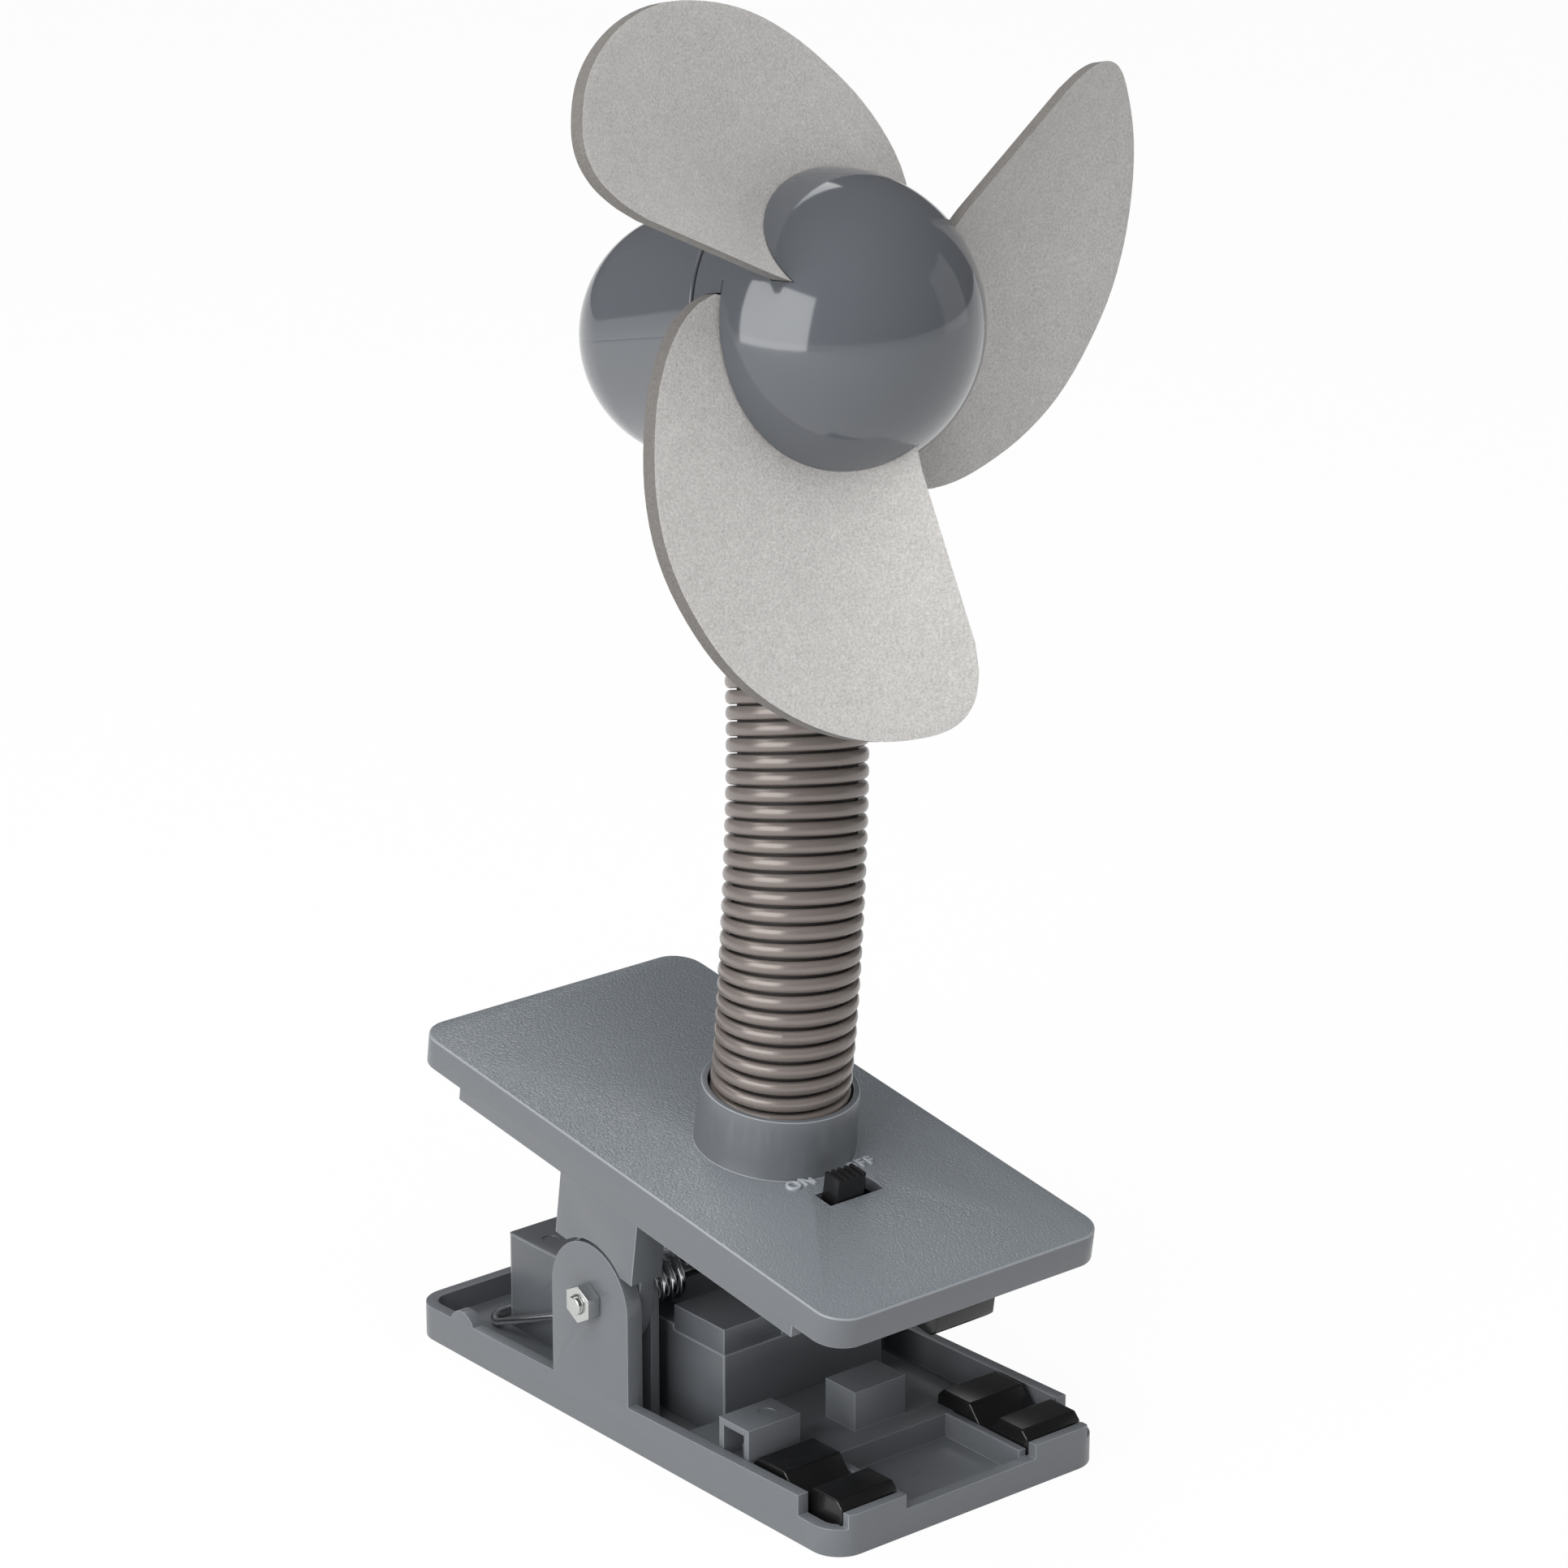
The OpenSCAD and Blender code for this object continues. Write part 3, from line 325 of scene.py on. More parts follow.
# After the roughness: swing of tone, swing of roughness, patch scale, grain scale, grain depth
FINISH = {
    "clip": plastic("clip_plastic", "#626569", 0.32),
    # clip_edge: the clip's rounded edges, glossier, and lighter in colour as a painted highlight
    "clip_edge": plastic("clip_plastic_polished_painted_highlight", "#888c90", 0.16),
    # The grained top: the clip's grey in a lighter tone, painted light on the top; clip_plastic is
    # the shaded copy
    "plate_grain_painted_top_light": pebbled("clip_plate_grain_painted_top_light", "#6f7479", 0.28),
    "box": plastic("battery_box_plastic", "#575a5e", 0.34),
    # box_edge: the box's rounded edges, glossier, and lighter in colour as a painted highlight
    "box_edge": plastic("battery_box_polished_painted_highlight", "#767a7e", 0.22),
    "gloss": plastic("gloss_plastic", "#54575c", 0.09, 0.03, 0.25, 30, 900, 0.000004, coat=0.35),
    # letter: the clip's plastic in a light grey, a painted highlight on the raised letters
    "letter": plastic("clip_lettering_painted_highlight", "#a0a5aa", 0.16),
    "neck": plastic("neck_plastic", "#7a726e", 0.26, 0.14, 0.35, 70, 1600, 0.00001, 0.3),
    "core": plastic("core_plastic", "#403c3a", 0.6),
    "rubber": plastic("pad_rubber", "#131314", 0.25, 0.1, 0.3, 80, 2200, 0.000008),
    "switch": plastic("switch_plastic", "#141415", 0.36, 0.08, 0.3, 90, 1800),
    "foam": foam("blade_foam", "#b2b0ae", 0.95),
    # foam_edge: a darker copy of the blade foam, for the faces of the blades that turn sideways
    "foam_edge": foam("blade_foam_darker_sides", "#6b6865", 0.9),
    "zinc": plastic("zinc_steel", "#c9cbc9", 0.24, 0.1, 0.5, 160, 2600, metallic=1.0),
    "spring": plastic("spring_steel", "#e2e5e7", 0.22, 0.12, 0.5, 200, 2600, metallic=1.0),
    "motor": plastic("motor_steel", "#a9adb2", 0.3, 0.08, 0.4, 120, 2000, metallic=1.0),
    "contact": plastic("contact_metal", "#cfd0ce", 0.25, 0.08, 0.4, 120, 2000, metallic=1.0),
    "cell": plastic("cell_shell", "#b79a52", 0.35, 0.06, 0.4, 60, 1500, 0.00001, 0.4),
    "cap_white": plastic("motor_cap_plastic", "#e2e0da", 0.4),
    "copper": plastic("copper", "#b87333", 0.3, 0.1, 0.4, 120, 2000, metallic=1.0),
}


# Building

CREASE = 35


def alone(piece):
    """Deselects everything, then selects this piece and makes it the active one."""
    if bpy.context.mode != "OBJECT":
        bpy.ops.object.mode_set(mode="OBJECT")
    bpy.ops.object.select_all(action="DESELECT")
    bpy.context.view_layer.objects.active = piece
    piece.select_set(True)


def edit_all(piece):
    alone(piece)
    bpy.ops.object.mode_set(mode="EDIT")
    bpy.ops.mesh.select_all(action="SELECT")


def face_outwards():
    """Turns the faces of the piece in edit mode outwards, and leaves edit mode."""
    bpy.ops.mesh.select_all(action="SELECT")
    bpy.ops.mesh.normals_make_consistent(inside=False)
    bpy.ops.object.mode_set(mode="OBJECT")


def new_grid(name, columns, rows):
    bpy.ops.object.select_all(action="DESELECT")
    bpy.ops.mesh.primitive_grid_add(x_subdivisions=columns, y_subdivisions=rows, size=1)
    piece = bpy.context.object
    piece.name = piece.data.name = name
    return piece


def apply_modifiers(piece):
    alone(piece)
    for modifier in list(piece.modifiers):
        bpy.ops.object.modifier_apply(modifier=modifier.name)


def place(piece, frame_matrix=Matrix.Identity(4)):
    """Puts a piece made in millimetres in one of the part's frames into the row frame, in metres."""
    piece.data.transform(Matrix.Scale(MM, 4) @ frame_matrix @ piece.matrix_world)
    piece.matrix_world = Matrix.Identity(4)
    return piece


def sharpen(piece, angle=CREASE):
    """Shades a piece smooth, with sharp edges where it turns by more than the angle."""
    alone(piece)
    bpy.ops.object.shade_smooth_by_angle(angle=math.radians(angle))


def finish(piece, body, finishes, nodes=(), smooth=CREASE):
    """Smooths and dresses a finished piece, and hangs it on its body when it is given one."""
    sharpen(piece, smooth)
    if not piece.data.materials:
        for key in finishes:
            piece.data.materials.append(FINISH[key])
    if nodes:
        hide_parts(*nodes)
    if body:
        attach(piece, body)
    return piece


def rolled(name, rows, around, where):
    """A grid rolled up until its two sides meet: where(row, angle) gives each point."""
    piece = new_grid(name, around, rows - 1)
    for v in piece.data.vertices:
        row = round((v.co.y + 0.5) * (rows - 1))
        v.co = where(row, math.tau * round((v.co.x + 0.5) * around) / around)
    edit_all(piece)
    bpy.ops.mesh.remove_doubles(threshold=0.0005)
    bpy.ops.mesh.select_all(action="DESELECT")
    bpy.ops.mesh.select_non_manifold(extend=False, use_wire=False, use_multi_face=False,
                                     use_non_contiguous=False, use_verts=False)
    if any(e.select for e in bmesh.from_edit_mesh(piece.data).edges):
        bpy.ops.mesh.edge_face_add()
    face_outwards()
    return piece


def lathe(name, profile, around):
    """Turns a profile of (radius, height) round the Z axis."""
    return rolled(name, len(profile), around, lambda row, angle: Vector((
        profile[row][0] * math.cos(angle), profile[row][0] * math.sin(angle), profile[row][1])))


def wire(name, points, radius, around):
    """A round wire along points, with its section turned as little as can be."""
    last = len(points) - 1
    tangents = [(points[min(i + 1, last)] - points[max(i - 1, 0)]).normalized()
                for i in range(last + 1)]
    side, sides = Vector((1, 0, 0)), []
    for t in tangents:
        side = (side - side.dot(t) * t).normalized()
        sides.append(side.copy())
    return rolled(name, len(points), around, lambda row, angle: points[row] + radius * (
        math.cos(angle) * sides[row] + math.sin(angle) * tangents[row].cross(sides[row])))


def cut_with(piece, tool, operation="DIFFERENCE"):
    modifier = piece.modifiers.new("cut", "BOOLEAN")
    modifier.operation = operation
    modifier.solver = "EXACT"
    modifier.object = tool
    apply_modifiers(piece)
    bpy.data.objects.remove(tool)


def bevel(piece, width, segments, angle):
    modifier = piece.modifiers.new("bevel", "BEVEL")
    modifier.limit_method = "ANGLE"
    modifier.angle_limit = math.radians(angle)
    modifier.width = width
    modifier.segments = segments
    apply_modifiers(piece)


def moulded(node, name, edge, finishes, slot, body, wide=(), top=None):
    """A copy of a solid with its flat faces joined and its edges rounded, which stands for the solid.
    wide gives (test, width) pairs for edges with a width of their own, and top a test for grained
    faces. The roundings take the second finish, and the grained faces the third."""
    piece = bpy.data.objects.new(name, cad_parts[node].data.copy())
    bpy.context.scene.collection.objects.link(piece)
    piece.data.name = name
    piece.data.materials.clear()
    for key in finishes:
        piece.data.materials.append(FINISH[key])
    alone(piece)
    bpy.ops.mesh.customdata_custom_splitnormals_clear()
    edit_all(piece)
    bpy.ops.mesh.remove_doubles(threshold=0.000002)
    bpy.ops.mesh.dissolve_limited(angle_limit=math.radians(0.6))
    bpy.ops.object.mode_set(mode="OBJECT")
    shape = bmesh.new()
    shape.from_mesh(piece.data)
    weight = shape.edges.layers.float.new("bevel_weight_edge")
    most = max([edge] + [w for _, w in wide])
    for face in shape.faces:
        face.material_index = 2 if top and top(face) else 0
    for e in shape.edges:
        if len(e.link_faces) != 2 or e.calc_face_angle(0) < math.radians(CREASE):
            continue
        width = edge
        for test, own in wide:
            if test(e):
                width = own
        e[weight] = width / most
    shape.to_mesh(piece.data)
    shape.free()
    modifier = piece.modifiers.new("round", "BEVEL")
    modifier.limit_method = "WEIGHT"
    modifier.width = most * MM
    modifier.segments = 3
    modifier.material = 1 if len(finishes) > 1 else 0
    modifier.miter_outer = "MITER_ARC"
    apply_modifiers(piece)
    return finish(piece, body, finishes, [node])


# Clip

JAW_BACK = IN_JAW.inverted()
NEAR = 0.15
RIM_SIDE, RIM_REAR, RIM_FRONT = 20, 40, -48
COLLAR_LIP = 0.4
BOX_SIDE, BOX_BACK, BOX_RISE = 15.8, 35, 4
PLATE_ROUND, COLLAR_ROUND, BOX_ROUND = 0.9, 0.48, 0.9
PIN_R, PIN_DEPTH, PIN_TAPER = 1.4, 0.14, 0.08
TRAY_PINS = [(-18.2, -32.5, 12.2), (-0.4, -48, 1.8)]
BOX_PINS = [(-12.4, 29, 18)]
LINE_DROP, LINE_R, LINE_OPEN = 4, 0.13, 0.1
LETTER_H, LETTER_Y, ON_X, OFF_X = 3.1, -22.6, -5.4, 6.2


def in_jaw(point):
    return JAW_BACK @ (Vector(point) / MM)


def plate_face(face):
    """The plate's level top."""
    middle = in_jaw(face.calc_center_median())
    up = JAW_BACK.to_3x3() @ face.normal
    return up.z > 0.99 and abs(middle.z - PLATE_TOP) < NEAR


def plate_rim(e):
    """An edge round the plate's top, apart from those of the collar and the switch."""
    a, b = in_jaw(e.verts[0].co), in_jaw(e.verts[1].co)
    return min(a.z, b.z) > PLATE_TOP - NEAR and max(a.z, b.z) < PLATE_TOP + NEAR and (
        max(abs(a.x), abs(b.x)) > RIM_SIDE or max(a.y, b.y) > RIM_REAR
        or min(a.y, b.y) < RIM_FRONT)


def collar_rim(e):
    """An edge round the outside of the collar's top."""
    points = [in_jaw(v.co) for v in e.verts]
    return all(p.z > PLATE_TOP + COLLAR_H - NEAR
               and math.hypot(p.x, p.y - COLLAR_Y) > BORE_R + COLLAR_LIP for p in points)


def box_corner(e):
    """An upright edge at the back of the battery box."""
    a, b = (v.co / MM for v in e.verts)
    return abs(a.z - b.z) > BOX_RISE and abs(a.x) > BOX_SIDE and a.y > BOX_BACK


def pin_marks(piece, places):
    """The shallow round marks that a mould's ejector pins leave, each on a level face."""
    for where in places:
        pin = lathe("pin", [(0, -PIN_DEPTH), (PIN_R, -PIN_DEPTH), (PIN_R + PIN_TAPER, PIN_DEPTH),
                            (0, PIN_DEPTH)], 40)
        pin.data.transform(shift(*where))
        cut_with(piece, place(pin))
    sharpen(piece)


def parting_line(piece):
    """A thin groove round the plate, open for a hair at the middle of its back."""
    x = PLATE_HALF_W - PLATE_CORNER
    front, rear = PLATE_FRONT + PLATE_CORNER, PLATE_REAR - PLATE_CORNER
    z = PLATE_TOP - LINE_DROP
    points = [Vector((-LINE_OPEN, PLATE_REAR, z))]
    for cx, cy, start in ((-x, rear, 90), (-x, front, 180), (x, front, 270), (x, rear, 0)):
        for i in range(11):
            a = math.radians(start + 9 * i)
            points.append(Vector((cx + PLATE_CORNER * math.cos(a),
                                  cy + PLATE_CORNER * math.sin(a), z)))
    points.append(Vector((LINE_OPEN, PLATE_REAR, z)))
    cut_with(piece, place(wire("groove", points, LINE_R, 8), IN_JAW))
    sharpen(piece)


CLIP, BOX = ("clip", "clip_edge"), ("box", "box_edge")

tray = moulded("lower_jaw", "tray", 0.35, CLIP, "clip_plastic", "lower_clip")
pin_marks(tray, TRAY_PINS)
# The plate's level top takes the lighter grained finish, painted light on the top face
plate = moulded("upper_jaw", "plate", 0.35, CLIP + ("plate_grain_painted_top_light",), "clip_plastic", "upper_clip",
                wide=[(plate_rim, PLATE_ROUND), (collar_rim, COLLAR_ROUND)], top=plate_face)
parting_line(plate)
cell_box = moulded("battery_box", "cell_box", 0.3, BOX, "clip_plastic", "lower_clip",
                   wide=[(box_corner, BOX_ROUND)])
pin_marks(cell_box, BOX_PINS)
for small in [
        ("battery_box_lid", "cell_box_lid", 0.25, BOX, "clip_plastic", "lower_clip"),
        ("battery_door", "cell_door", 0.25, CLIP, "clip_plastic", "lower_clip"),
        ("lower_pad_left", "jaw_pad_left", 0.3, ("rubber",), "pad_rubber", "lower_clip"),
        ("lower_pad_right", "jaw_pad_right", 0.3, ("rubber",), "pad_rubber", "lower_clip"),
        ("upper_pad", "jaw_pad_upper", 0.3, ("rubber",), "pad_rubber", "upper_clip"),
        ("switch_knob", "slide_knob", 0.07, ("switch",), "switch_plastic", "knob"),
        ("pivot_nut", "hinge_nut", 0.2, ("zinc",), "zinc_steel", "lower_clip"),
        ("pivot_bolt", "hinge_bolt", 0.25, ("zinc",), "zinc_steel", "lower_clip")]:
    moulded(*small)


def letters(name, word, x):
    """Raised letters behind the switch's slot."""
    bpy.ops.object.select_all(action="DESELECT")
    bpy.ops.object.text_add()
    piece = bpy.context.object
    piece.name = name
    piece.data.body = word
    piece.data.size = LETTER_H
    piece.data.extrude = 0.38
    piece.data.bevel_depth = 0.07
    piece.data.bevel_resolution = 1
    piece.data.offset = 0.01
    piece.data.space_character = 1.12
    piece.data.align_x = "CENTER"
    bpy.ops.object.convert(target="MESH")
    piece = bpy.context.object
    piece.data.transform(shift(x, LETTER_Y, PLATE_TOP))
    edit_all(piece)
    bpy.ops.mesh.remove_doubles(threshold=0.001)
    bpy.ops.object.mode_set(mode="OBJECT")
    place(piece, IN_JAW)
    # The letters take a finish lighter than the plate's, a painted highlight on them
    finish(piece, "upper_clip", ("letter",))


letters("word_on", "ON", ON_X)
letters("word_off", "OFF", OFF_X)


# Torsion spring: the same path as the solid's, with more rings

SPRING_R, SPRING_WIRE, LOOP_Z = 3.5, 1.3, 2.75
SPRING_REAR, SPRING_BEND, COIL_OUT, COIL_PITCH, SPRING_TURNS = 38.6, 3, 18.25, 1.8, 4
ARM_TIP_Y = 16
SPRING_RINGS, SPRING_AROUND, ARM_STEPS, LEG_STEPS = 28, 12, 6, 8


def spring_half():
    """The loop's middle, one leg, one coil and one arm, from the arm's tip."""
    tip = IN_JAW @ Vector((0, ARM_TIP_Y, PLATE_TOP - PLATE_T - GAP - SPRING_WIRE / 2))
    run = math.hypot(tip.y, tip.z - PIVOT_Z)
    arm = math.atan2(tip.z - PIVOT_Z, tip.y) + math.acos(SPRING_R / run)
    drop = PIVOT_Z - LOOP_Z
    reach = math.hypot(SPRING_REAR, drop)
    leg = -math.atan2(drop, SPRING_REAR) - math.acos(SPRING_R / reach)
    turns = SPRING_TURNS + (arm - leg) / math.tau
    inner = COIL_OUT - turns * COIL_PITCH
    rings = round(SPRING_RINGS * turns)

    def on_coil(x, a):
        return Vector((x, SPRING_R * math.cos(a), PIVOT_Z + SPRING_R * math.sin(a)))

    arm_tip, arm_root = Vector((inner, tip.y, tip.z)), on_coil(inner, arm)
    points = [arm_tip.lerp(arm_root, t / ARM_STEPS) for t in range(ARM_STEPS)]
    points += [on_coil(inner + (COIL_OUT - inner) * i / rings, arm - math.tau * turns * i / rings)
               for i in range(rings + 1)]
    leg_root, leg_end = points[-1], Vector((COIL_OUT, SPRING_REAR - SPRING_BEND, LOOP_Z))
    points += [leg_root.lerp(leg_end, t / LEG_STEPS) for t in range(1, LEG_STEPS)]
    for a in range(0, 91, 15):
        r = math.radians(a)
        points.append(Vector((COIL_OUT - SPRING_BEND * (1 - math.cos(r)),
                              SPRING_REAR - SPRING_BEND * (1 - math.sin(r)), LOOP_Z)))
    return points


half = spring_half()
other_half = [Vector((-p.x, p.y, p.z)) for p in reversed(half)]
spring = place(wire("jaw_spring", half + other_half, SPRING_WIRE / 2, SPRING_AROUND))
finish(spring, None, ("spring",), ["torsion_spring"], 60)
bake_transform(spring)


# Neck: one helix with a dark sleeve in it, cut in the middle of each link, each length running over
# the joint between two links

WIND_HALF_H, WIND_HALF_T, WIND_STEPS, WIND_AROUND = 1.1, 0.85, 44, 14
SQUARE_ACROSS, SQUARE_ALONG = 0.8, 0.9
END_BELOW, END_ABOVE = 0.02, 0.012
WIND_TURNS = NECK_LEN / WIND_PITCH
LINER_R, LINER_ROWS, LINER_AROUND = 9.18, 13, 48


def wind_station(share):
    """The centre of the wire, and its outward and along-the-neck directions."""
    x, y, z = neck_axes(share)
    a = math.tau * WIND_TURNS * share
    out = math.cos(a) * x + math.sin(a) * y
    return neck_point(share) + (NECK_D / 2 - WIND_HALF_T) * out, out, z


def neck_span(k):
    """The shares of the neck between which its k-th length runs."""
    low = -WIND_BELOW / NECK_LEN + END_BELOW if k == 1 else (k - 1) / JOINTS
    high = 1 + WIND_ABOVE / NECK_LEN - END_ABOVE if k == JOINTS else k / JOINTS
    return low, high


def bend_with_neck(piece, k):
    ends = [neck_point((k - 1) / JOINTS) * MM, neck_point(k / JOINTS) * MM]
    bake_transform(piece)


def winding(k):
    """A length of the helix, of flattened wire."""
    low, high = neck_span(k)
    rows = round((high - low) * WIND_TURNS * WIND_STEPS) + 1
    stations = [wind_station(low + (high - low) * i / (rows - 1)) for i in range(rows)]

    def where(row, angle):
        centre, out, z = stations[row]
        across, along = math.cos(angle), math.sin(angle)
        return (centre + WIND_HALF_T * math.copysign(abs(across) ** SQUARE_ACROSS, across) * out
                + WIND_HALF_H * math.copysign(abs(along) ** SQUARE_ALONG, along) * z)

    piece = place(rolled(f"neck_coil_{k}", rows, WIND_AROUND, where))
    nodes = [f"neck_winding_{k}"] + (["neck_winding_0"] if k == 1 else [])
    finish(piece, None, ("neck",), nodes, 60)
    bend_with_neck(piece, k)


def liner(k):
    """The dark sleeve that shows between the turns where the neck is bent."""
    low, high = neck_span(k)

    def where(row, angle):
        share = low + (high - low) * row / (LINER_ROWS - 1)
        x, y, _ = neck_axes(share)
        return neck_point(share) + LINER_R * (math.cos(angle) * x + math.sin(angle) * y)

    piece = place(rolled(f"neck_sleeve_{k}", LINER_ROWS, LINER_AROUND, where))
    finish(piece, None, ("core",))
    bend_with_neck(piece, k)


for k in range(1, JOINTS + 1):
    winding(k)
    liner(k)


# Head

SEAM_Y, SEAM_W = 2.2, 0.16
POD_RIM = [(3, 3), (1.9, 2.6), (1.8, 0.3), (1.5, 0)]
RIM_ROUND = 0.35
BOSS_TOP, BOSS_EDGE, BORE_LOW, BORE_TOP, BORE_EDGE = 12, 0.4, -4, 9, 0.5


def arc(cx, cz, r, a0, a1, steps):
    return [(cx + r * math.cos(math.radians(a0 + (a1 - a0) * i / steps)),
             cz + r * math.sin(math.radians(a0 + (a1 - a0) * i / steps))) for i in range(steps + 1)]


def pod_profile():
    """The housing from the inside of its front rim round its back to the axis."""
    taper = math.degrees(math.asin((POD_R - POD_BACK_R) / (POD_FRONT + POD_LEN)))
    side = arc(0, -POD_LEN, POD_BACK_R, -taper, -90, 40)
    rim_r = side[0][0] + (POD_FRONT - side[0][1]) * math.tan(math.radians(taper))
    front = [(0, POD_FRONT - POD_RIM[0][1])]
    front += [(rim_r - inwards, POD_FRONT - behind) for inwards, behind in POD_RIM]
    front += arc(rim_r - RIM_ROUND, POD_FRONT - RIM_ROUND, RIM_ROUND, 90, 0, 5)
    run = [(front[-1][0] + (side[0][0] - front[-1][0]) * t / 10,
            front[-1][1] + (side[0][1] - front[-1][1]) * t / 10) for t in range(1, 10)]
    return front + run + side[:-1] + [(0, side[-1][1])]


def shell(name, node, upper):
    """One half of the housing. The lower one has the boss that takes the neck."""
    piece = lathe(name, pod_profile(), 144)
    edit_all(piece)
    bpy.ops.mesh.bisect(plane_co=(0, SEAM_Y, 0), plane_no=(0, 1, 0), use_fill=True,
                        clear_inner=upper, clear_outer=not upper)
    bpy.ops.object.mode_set(mode="OBJECT")
    if not upper:
        on_neck = shift(0, -HEAD_RISE, -HUB_FORWARD) @ turn("X", -90)
        boss = lathe("boss", [(0, 0), (BOSS_R - BOSS_EDGE, 0), (BOSS_R, BOSS_EDGE),
                              (BOSS_R, BOSS_TOP), (0, BOSS_TOP)], 96)
        boss.data.transform(on_neck)
        cut_with(piece, boss, "UNION")
        bore = lathe("bore", [(0, BORE_LOW), (BORE_R + BORE_EDGE, BORE_LOW),
                              (BORE_R + BORE_EDGE, 0), (BORE_R, BORE_EDGE), (BORE_R, BORE_TOP),
                              (0, BORE_TOP)], 96)
        bore.data.transform(on_neck)
        cut_with(piece, bore)
    bevel(piece, SEAM_W, 2, 60)
    place(piece, IN_FAN)
    finish(piece, "head", ("gloss",), [node])


shell("pod_upper", "housing_upper", True)
shell("pod_lower", "housing_lower", False)


# Rotor

SHEET_R = (BLADE_RUN ** 2 + BLADE_RISE ** 2) / (2 * BLADE_RISE)
OVERLAP = 5
ROOT_REACH, CUT_DEPTH = 1.4, 60
SHAFT_HOLE = [(0, -9), (2, -9), (2, 14), (0, 14)]
REAR_LOW, REAR_EDGE, REAR_SIDE = 0.4, 0.3, -2
BLADE_END = EDGE_SHARES[-1][0] * SECTOR + 0.8
BEHIND_OFFSET, BEHIND_OVERLAP = 0.1, 1
ROW_CROWDING = 2.2
CUT_EDGE, BLADE_ROUND = 0.35, 0.55


def sheet_z(u):
    return BLADE_LOW + SHEET_R - math.sqrt(SHEET_R ** 2 - (BLADE_RUN - min(u, BLADE_RUN)) ** 2)


def blade_z(r, back):
    """Height of a blade's front face, at a radius and an angle behind the leading edge."""
    u = r * math.sin(math.radians(back))
    if r <= HUB_R:
        return sheet_z(u)
    cone = FRONT_CONE + (BACK_CONE - FRONT_CONE) * back / SECTOR
    return sheet_z(u * HUB_R / r) + (r - HUB_R) * math.tan(math.radians(cone))


def on_sheet(r, back, z):
    a = math.radians(-back)
    return Vector((r * math.cos(a), r * math.sin(a), z))


def root_tool(number, offset, first, last, depth):
    """What is cut away before or behind a blade's root, over the angles from first to last."""
    tool = new_grid("root", 16, 50)
    for v in tool.data.vertices:
        r = (v.co.x + 0.5) * ROOT_REACH * HUB_R
        back = first + (last - first) * (v.co.y + 0.5)
        v.co = on_sheet(r, back, sheet_z(r * math.sin(math.radians(back))) + offset)
    edit_all(tool)
    bpy.ops.mesh.remove_doubles(threshold=0.001)
    bpy.ops.mesh.extrude_region_move(TRANSFORM_OT_translate={"value": (0, 0, depth)})
    face_outwards()
    tool.data.transform(turn("Z", BLADE_PHASE + SECTOR * number))
    return tool


def hub_half(name, node, profile, cuts, depth):
    piece = lathe(name, profile, 180)
    cut_with(piece, lathe("bore", SHAFT_HOLE, 24))
    for number in range(BLADES):
        for offset, first, last in cuts:
            cut_with(piece, root_tool(number, offset, first, last, depth))
    edit_all(piece)
    bpy.ops.mesh.remove_doubles(threshold=0.02)
    bpy.ops.mesh.fill_holes(sides=8)
    face_outwards()
    place(piece, IN_FAN)
    finish(piece, "rotor", ("gloss",), [node], 30)


dome = [(0, GAP)] + arc(0, 0, HUB_R, math.degrees(math.asin(GAP / HUB_R)), 90, 60)[:-1]
dome += [(0, HUB_R)]
hub_half("nose_cap", "hub_cap", dome, [(GAP, 0, SECTOR + OVERLAP)], -CUT_DEPTH)
rear = [(0, POD_FRONT + REAR_LOW), (HUB_R - REAR_EDGE, POD_FRONT + REAR_LOW),
        (HUB_R, POD_FRONT + REAR_LOW + REAR_EDGE), (HUB_R, REAR_SIDE)]
rear += arc(0, 0, HUB_R, 0, 90, 60)[:-1] + [(0, HUB_R)]
hub_half("rotor_base", "blade_carrier", rear, [
    (-BLADE_T - GAP, -OVERLAP, BLADE_END),
    (BEHIND_OFFSET, BLADE_END - BEHIND_OVERLAP, SECTOR)], CUT_DEPTH)


def tip_share(share):
    """The blade's edge as a share of the tip radius, on a smooth curve through the table."""
    table = EDGE_SHARES
    i = max(j for j in range(len(table) - 1) if share >= table[j][0] or j == 0)
    p0, p1, p2, p3 = table[max(i - 1, 0)], table[i], table[i + 1], table[min(i + 2, len(table) - 1)]
    t = (share - p1[0]) / (p2[0] - p1[0])
    m1 = (p2[1] - p0[1]) / (p2[0] - p0[0]) * (p2[0] - p1[0])
    m2 = (p3[1] - p1[1]) / (p3[0] - p1[0]) * (p2[0] - p1[0])
    return (p1[1] * (2 * t ** 3 - 3 * t ** 2 + 1) + m1 * (t ** 3 - 2 * t ** 2 + t)
            + p2[1] * (3 * t ** 2 - 2 * t ** 3) + m2 * (t ** 3 - t ** 2))


def row_share(t):
    """Rows crowd towards the leading edge, where the outline turns most."""
    first, last = EDGE_SHARES[0][0], EDGE_SHARES[-1][0]
    return first + (last - first) * t ** ROW_CROWDING


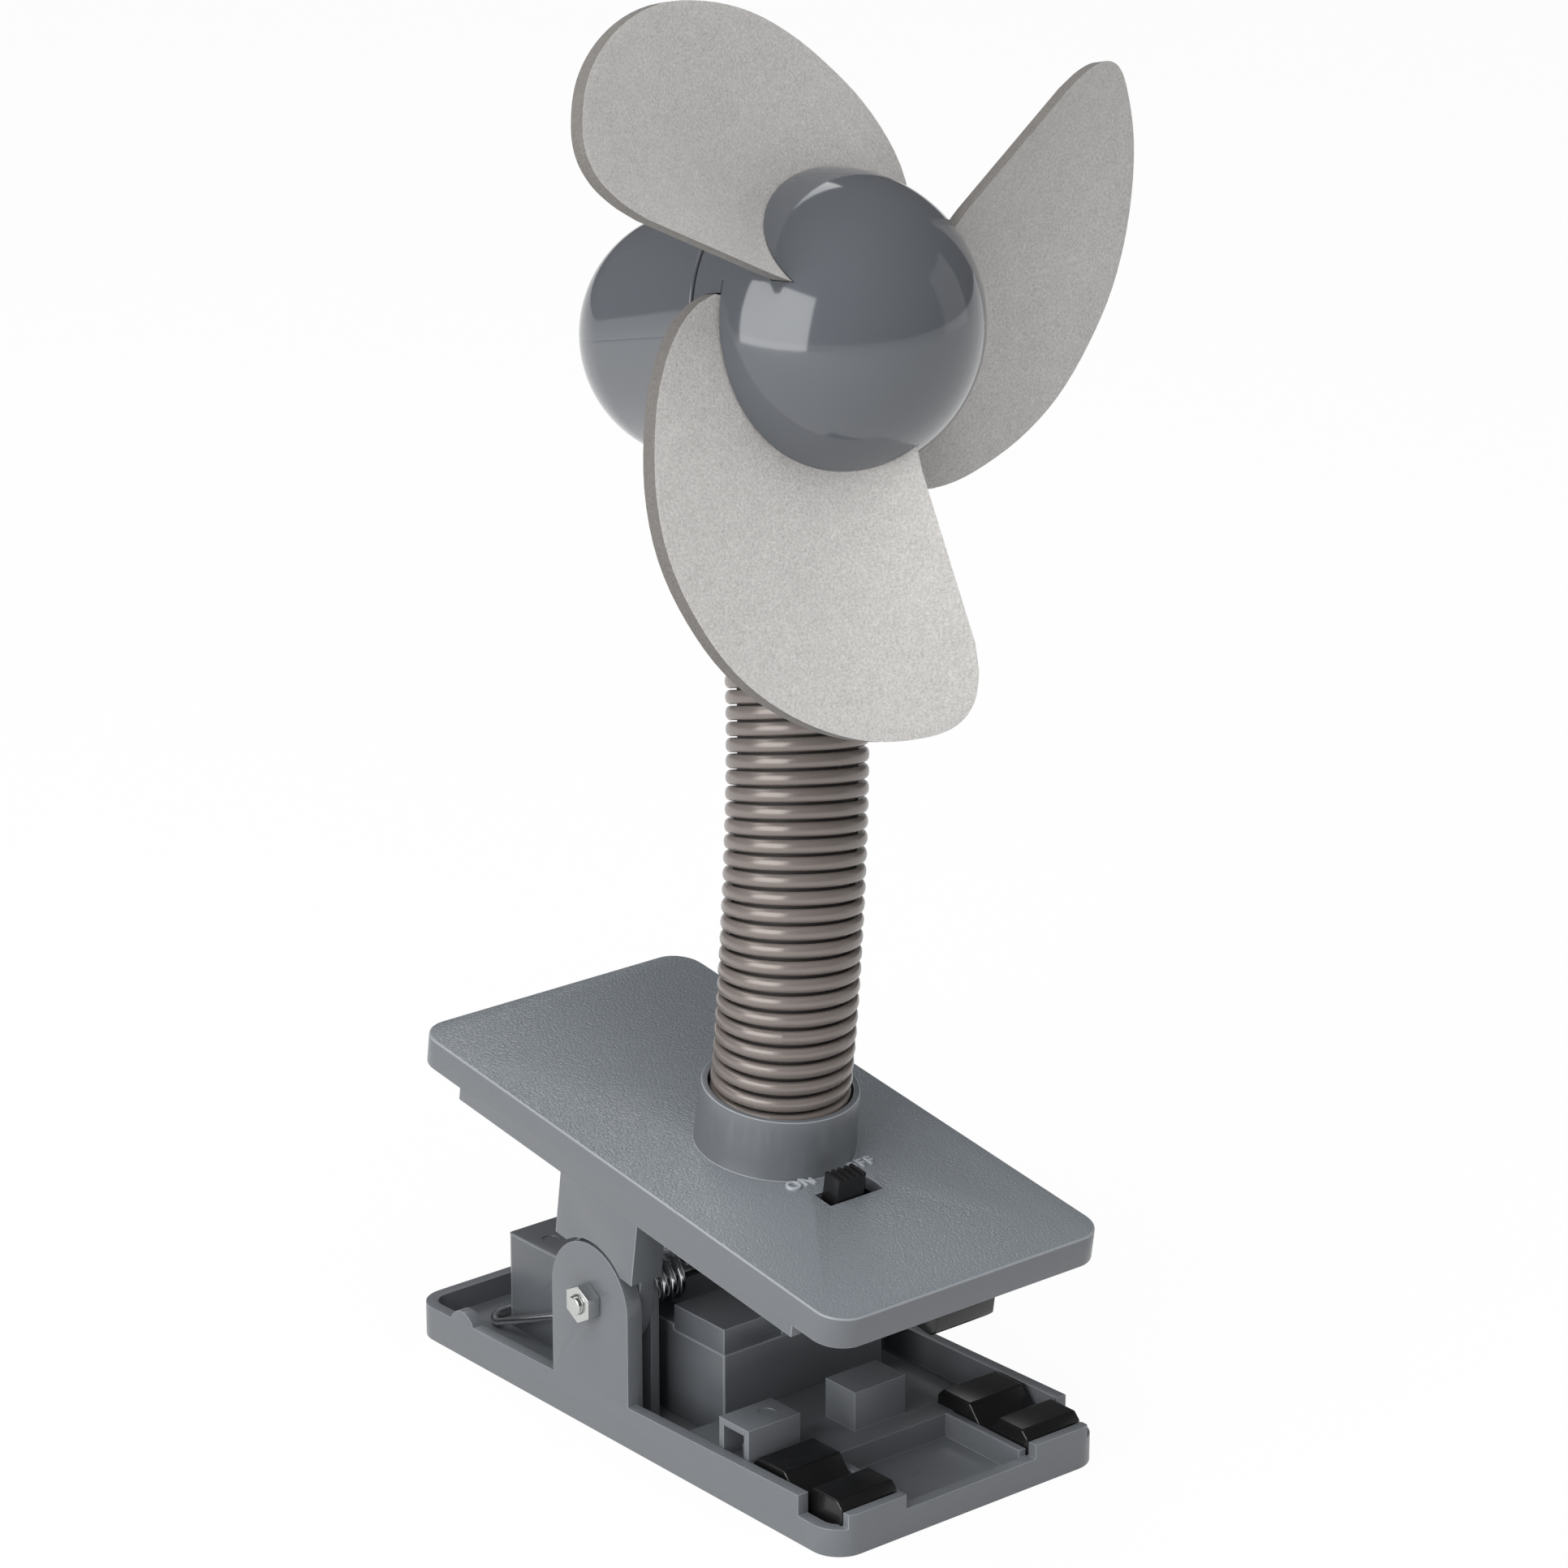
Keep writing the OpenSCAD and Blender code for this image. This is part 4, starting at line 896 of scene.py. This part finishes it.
def foam_blade(number):
    piece = new_grid(f"foam_blade_{number + 1}", 34, 64)
    for v in piece.data.vertices:
        share = row_share(v.co.y + 0.5)
        back = share * SECTOR
        r = ROOT_R + (TIP_R * tip_share(share) - ROOT_R) * (v.co.x + 0.5)
        v.co = on_sheet(r, back, blade_z(r, back))
    piece.data.materials.append(FINISH["foam"])
    piece.data.materials.append(FINISH["foam_edge"])
    edit_all(piece)
    bpy.ops.mesh.extrude_region_move(TRANSFORM_OT_translate={"value": (0, 0, -BLADE_T)})
    face_outwards()
    # Faces turned sideways take the darker copy of the foam
    for face in piece.data.polygons:
        face.material_index = 1 if abs(face.normal.z) < CUT_EDGE else 0
    bevel(piece, BLADE_ROUND, 3, 50)
    piece.data.transform(turn("Z", BLADE_PHASE + SECTOR * number))
    place(piece, IN_FAN)
    finish(piece, "rotor", (), [f"blade_{number + 1}"], 50)


for number in range(BLADES):
    foam_blade(number)


# Solids that keep their own shape

KEPT = {
    "door_screw": "zinc", "battery_cells": "cell", "battery_contacts": "contact",
    "switch_body": "motor", "switch_pins": "contact", "motor_can": "motor",
    "motor_end_cap": "cap_white", "motor_terminals": "copper", "motor_shaft": "zinc"}
KEPT.update({f"neck_core_{k}": "core" for k in range(JOINTS + 1)})
for node, key in KEPT.items():
    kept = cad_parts[node]
    kept.data.materials.clear()
    kept.data.materials.append(FINISH[key])


# Studio

FLOOR_GREY, FLOOR_SIZE = 0.8, 12
WHITE_SEEN, WHITE_MIRRORED = 0.95, 0.6
SKY_LIGHT, SKY_SEEN = 0.1, 0.9


def studio_material():
    """A pale floor, seen mostly white by the camera, that keeps a soft shadow."""
    material, tree, shader = new_material("studio_floor", "#ffffff")
    shader.inputs["Base Color"].default_value = (FLOOR_GREY, FLOOR_GREY, FLOOR_GREY, 1)
    shader.inputs["Roughness"].default_value = 0.9
    glow = tree.nodes.new("ShaderNodeEmission")
    mix = tree.nodes.new("ShaderNodeMixShader")
    path = tree.nodes.new("ShaderNodeLightPath")
    seen = math_node(tree, "MULTIPLY", path.outputs["Is Camera Ray"], WHITE_SEEN)
    share = math_node(tree, "MULTIPLY_ADD", path.outputs["Is Glossy Ray"], WHITE_MIRRORED, seen)
    tree.links.new(share, mix.inputs[0])
    tree.links.new(shader.outputs[0], mix.inputs[1])
    tree.links.new(glow.outputs[0], mix.inputs[2])
    tree.links.new(mix.outputs[0], tree.nodes["Material Output"].inputs["Surface"])
    return material


bpy.ops.object.select_all(action="DESELECT")
bpy.ops.mesh.primitive_plane_add(size=FLOOR_SIZE)
floor = bpy.context.object
floor.name = "studio_floor"
floor.data.materials.append(studio_material())

world = bpy.data.worlds.new("studio")
bpy.context.scene.world = world
world.use_nodes = True
sky = world.node_tree.nodes["Background"]
sky.inputs["Color"].default_value = (1, 1, 1, 1)
ray = world.node_tree.nodes.new("ShaderNodeLightPath")
level = math_node(world.node_tree, "MULTIPLY_ADD", ray.outputs["Is Camera Ray"],
                  SKY_SEEN, SKY_LIGHT)
world.node_tree.links.new(level, sky.inputs["Strength"])

# Name, direction, distance, size, power, what it lights, and whether gloss mirrors it
HUB_CENTRE, CLIP_TOP, NECK_MIDDLE = (0.0116, -0.0114, 0.1733), (0, 0, 0.06), (0, 0, 0.1)
SOFTBOXES = [
    ("key_window", (-1.26, -0.142, 0.33), 1.32, (1.36, 1.03), 18, HUB_CENTRE, True),
    ("overhead", (-0.2, -0.25, 0.95), 1.5, (1.4, 1.2), 20, NECK_MIDDLE, False),
    ("overhead_sheen", (-0.1, 0.55, 0.8), 1.6, (2.2, 0.5), 9, CLIP_TOP, True),
    ("front_fill", (-0.3, -1.0, 0.25), 1.8, (1.4, 1.2), 2.5, HUB_CENTRE, False),
    ("side_glow", (0.9, -0.42, 0.12), 1.6, (0.8, 1.1), 0.9, HUB_CENTRE, True),
    ("side_fill", (0.75, -0.7, 0.35), 1.7, (1.2, 1.0), 3.5, HUB_CENTRE, False)]
for name, direction, distance, size, power, target, mirrored in SOFTBOXES:
    light = bpy.data.lights.new(name, "AREA")
    light.shape = "RECTANGLE"
    light.size, light.size_y = size
    light.energy = power
    lamp = bpy.data.objects.new(name, light)
    bpy.context.scene.collection.objects.link(lamp)
    aim = Vector(direction).normalized()
    lamp.location = Vector(target) + aim * distance
    lamp.rotation_euler = aim.to_track_quat("Z", "Y").to_euler()
    lamp.visible_glossy = mirrored

# The camera fitted to the photograph: its focal length in the photograph's pixels, its place,
# and its backward and rightward directions
FOCAL, PHOTO_W, SENSOR_W = 6794, 1932, 36
CAMERA_AT = Vector((-0.5006, -0.6173, 0.3808))
back = Vector((-0.6025, -0.7255, 0.3327)).normalized()
right = Vector((0.7695, -0.6386, 0.0009))
right = (right - right.dot(back) * back).normalized()
up = back.cross(right)
camera_data = bpy.data.cameras.new("camera")
camera_data.sensor_width = SENSOR_W
camera_data.lens = FOCAL / PHOTO_W * SENSOR_W
camera_data.clip_start = 0.01
camera = bpy.data.objects.new("camera", camera_data)
bpy.context.scene.collection.objects.link(camera)
camera.matrix_world = Matrix((
    (right.x, up.x, back.x, CAMERA_AT.x), (right.y, up.y, back.y, CAMERA_AT.y),
    (right.z, up.z, back.z, CAMERA_AT.z), (0, 0, 0, 1)))
bpy.context.scene.camera = camera
bpy.context.scene.view_settings.view_transform = "Standard"

bpy.ops.object.select_all(action="DESELECT")
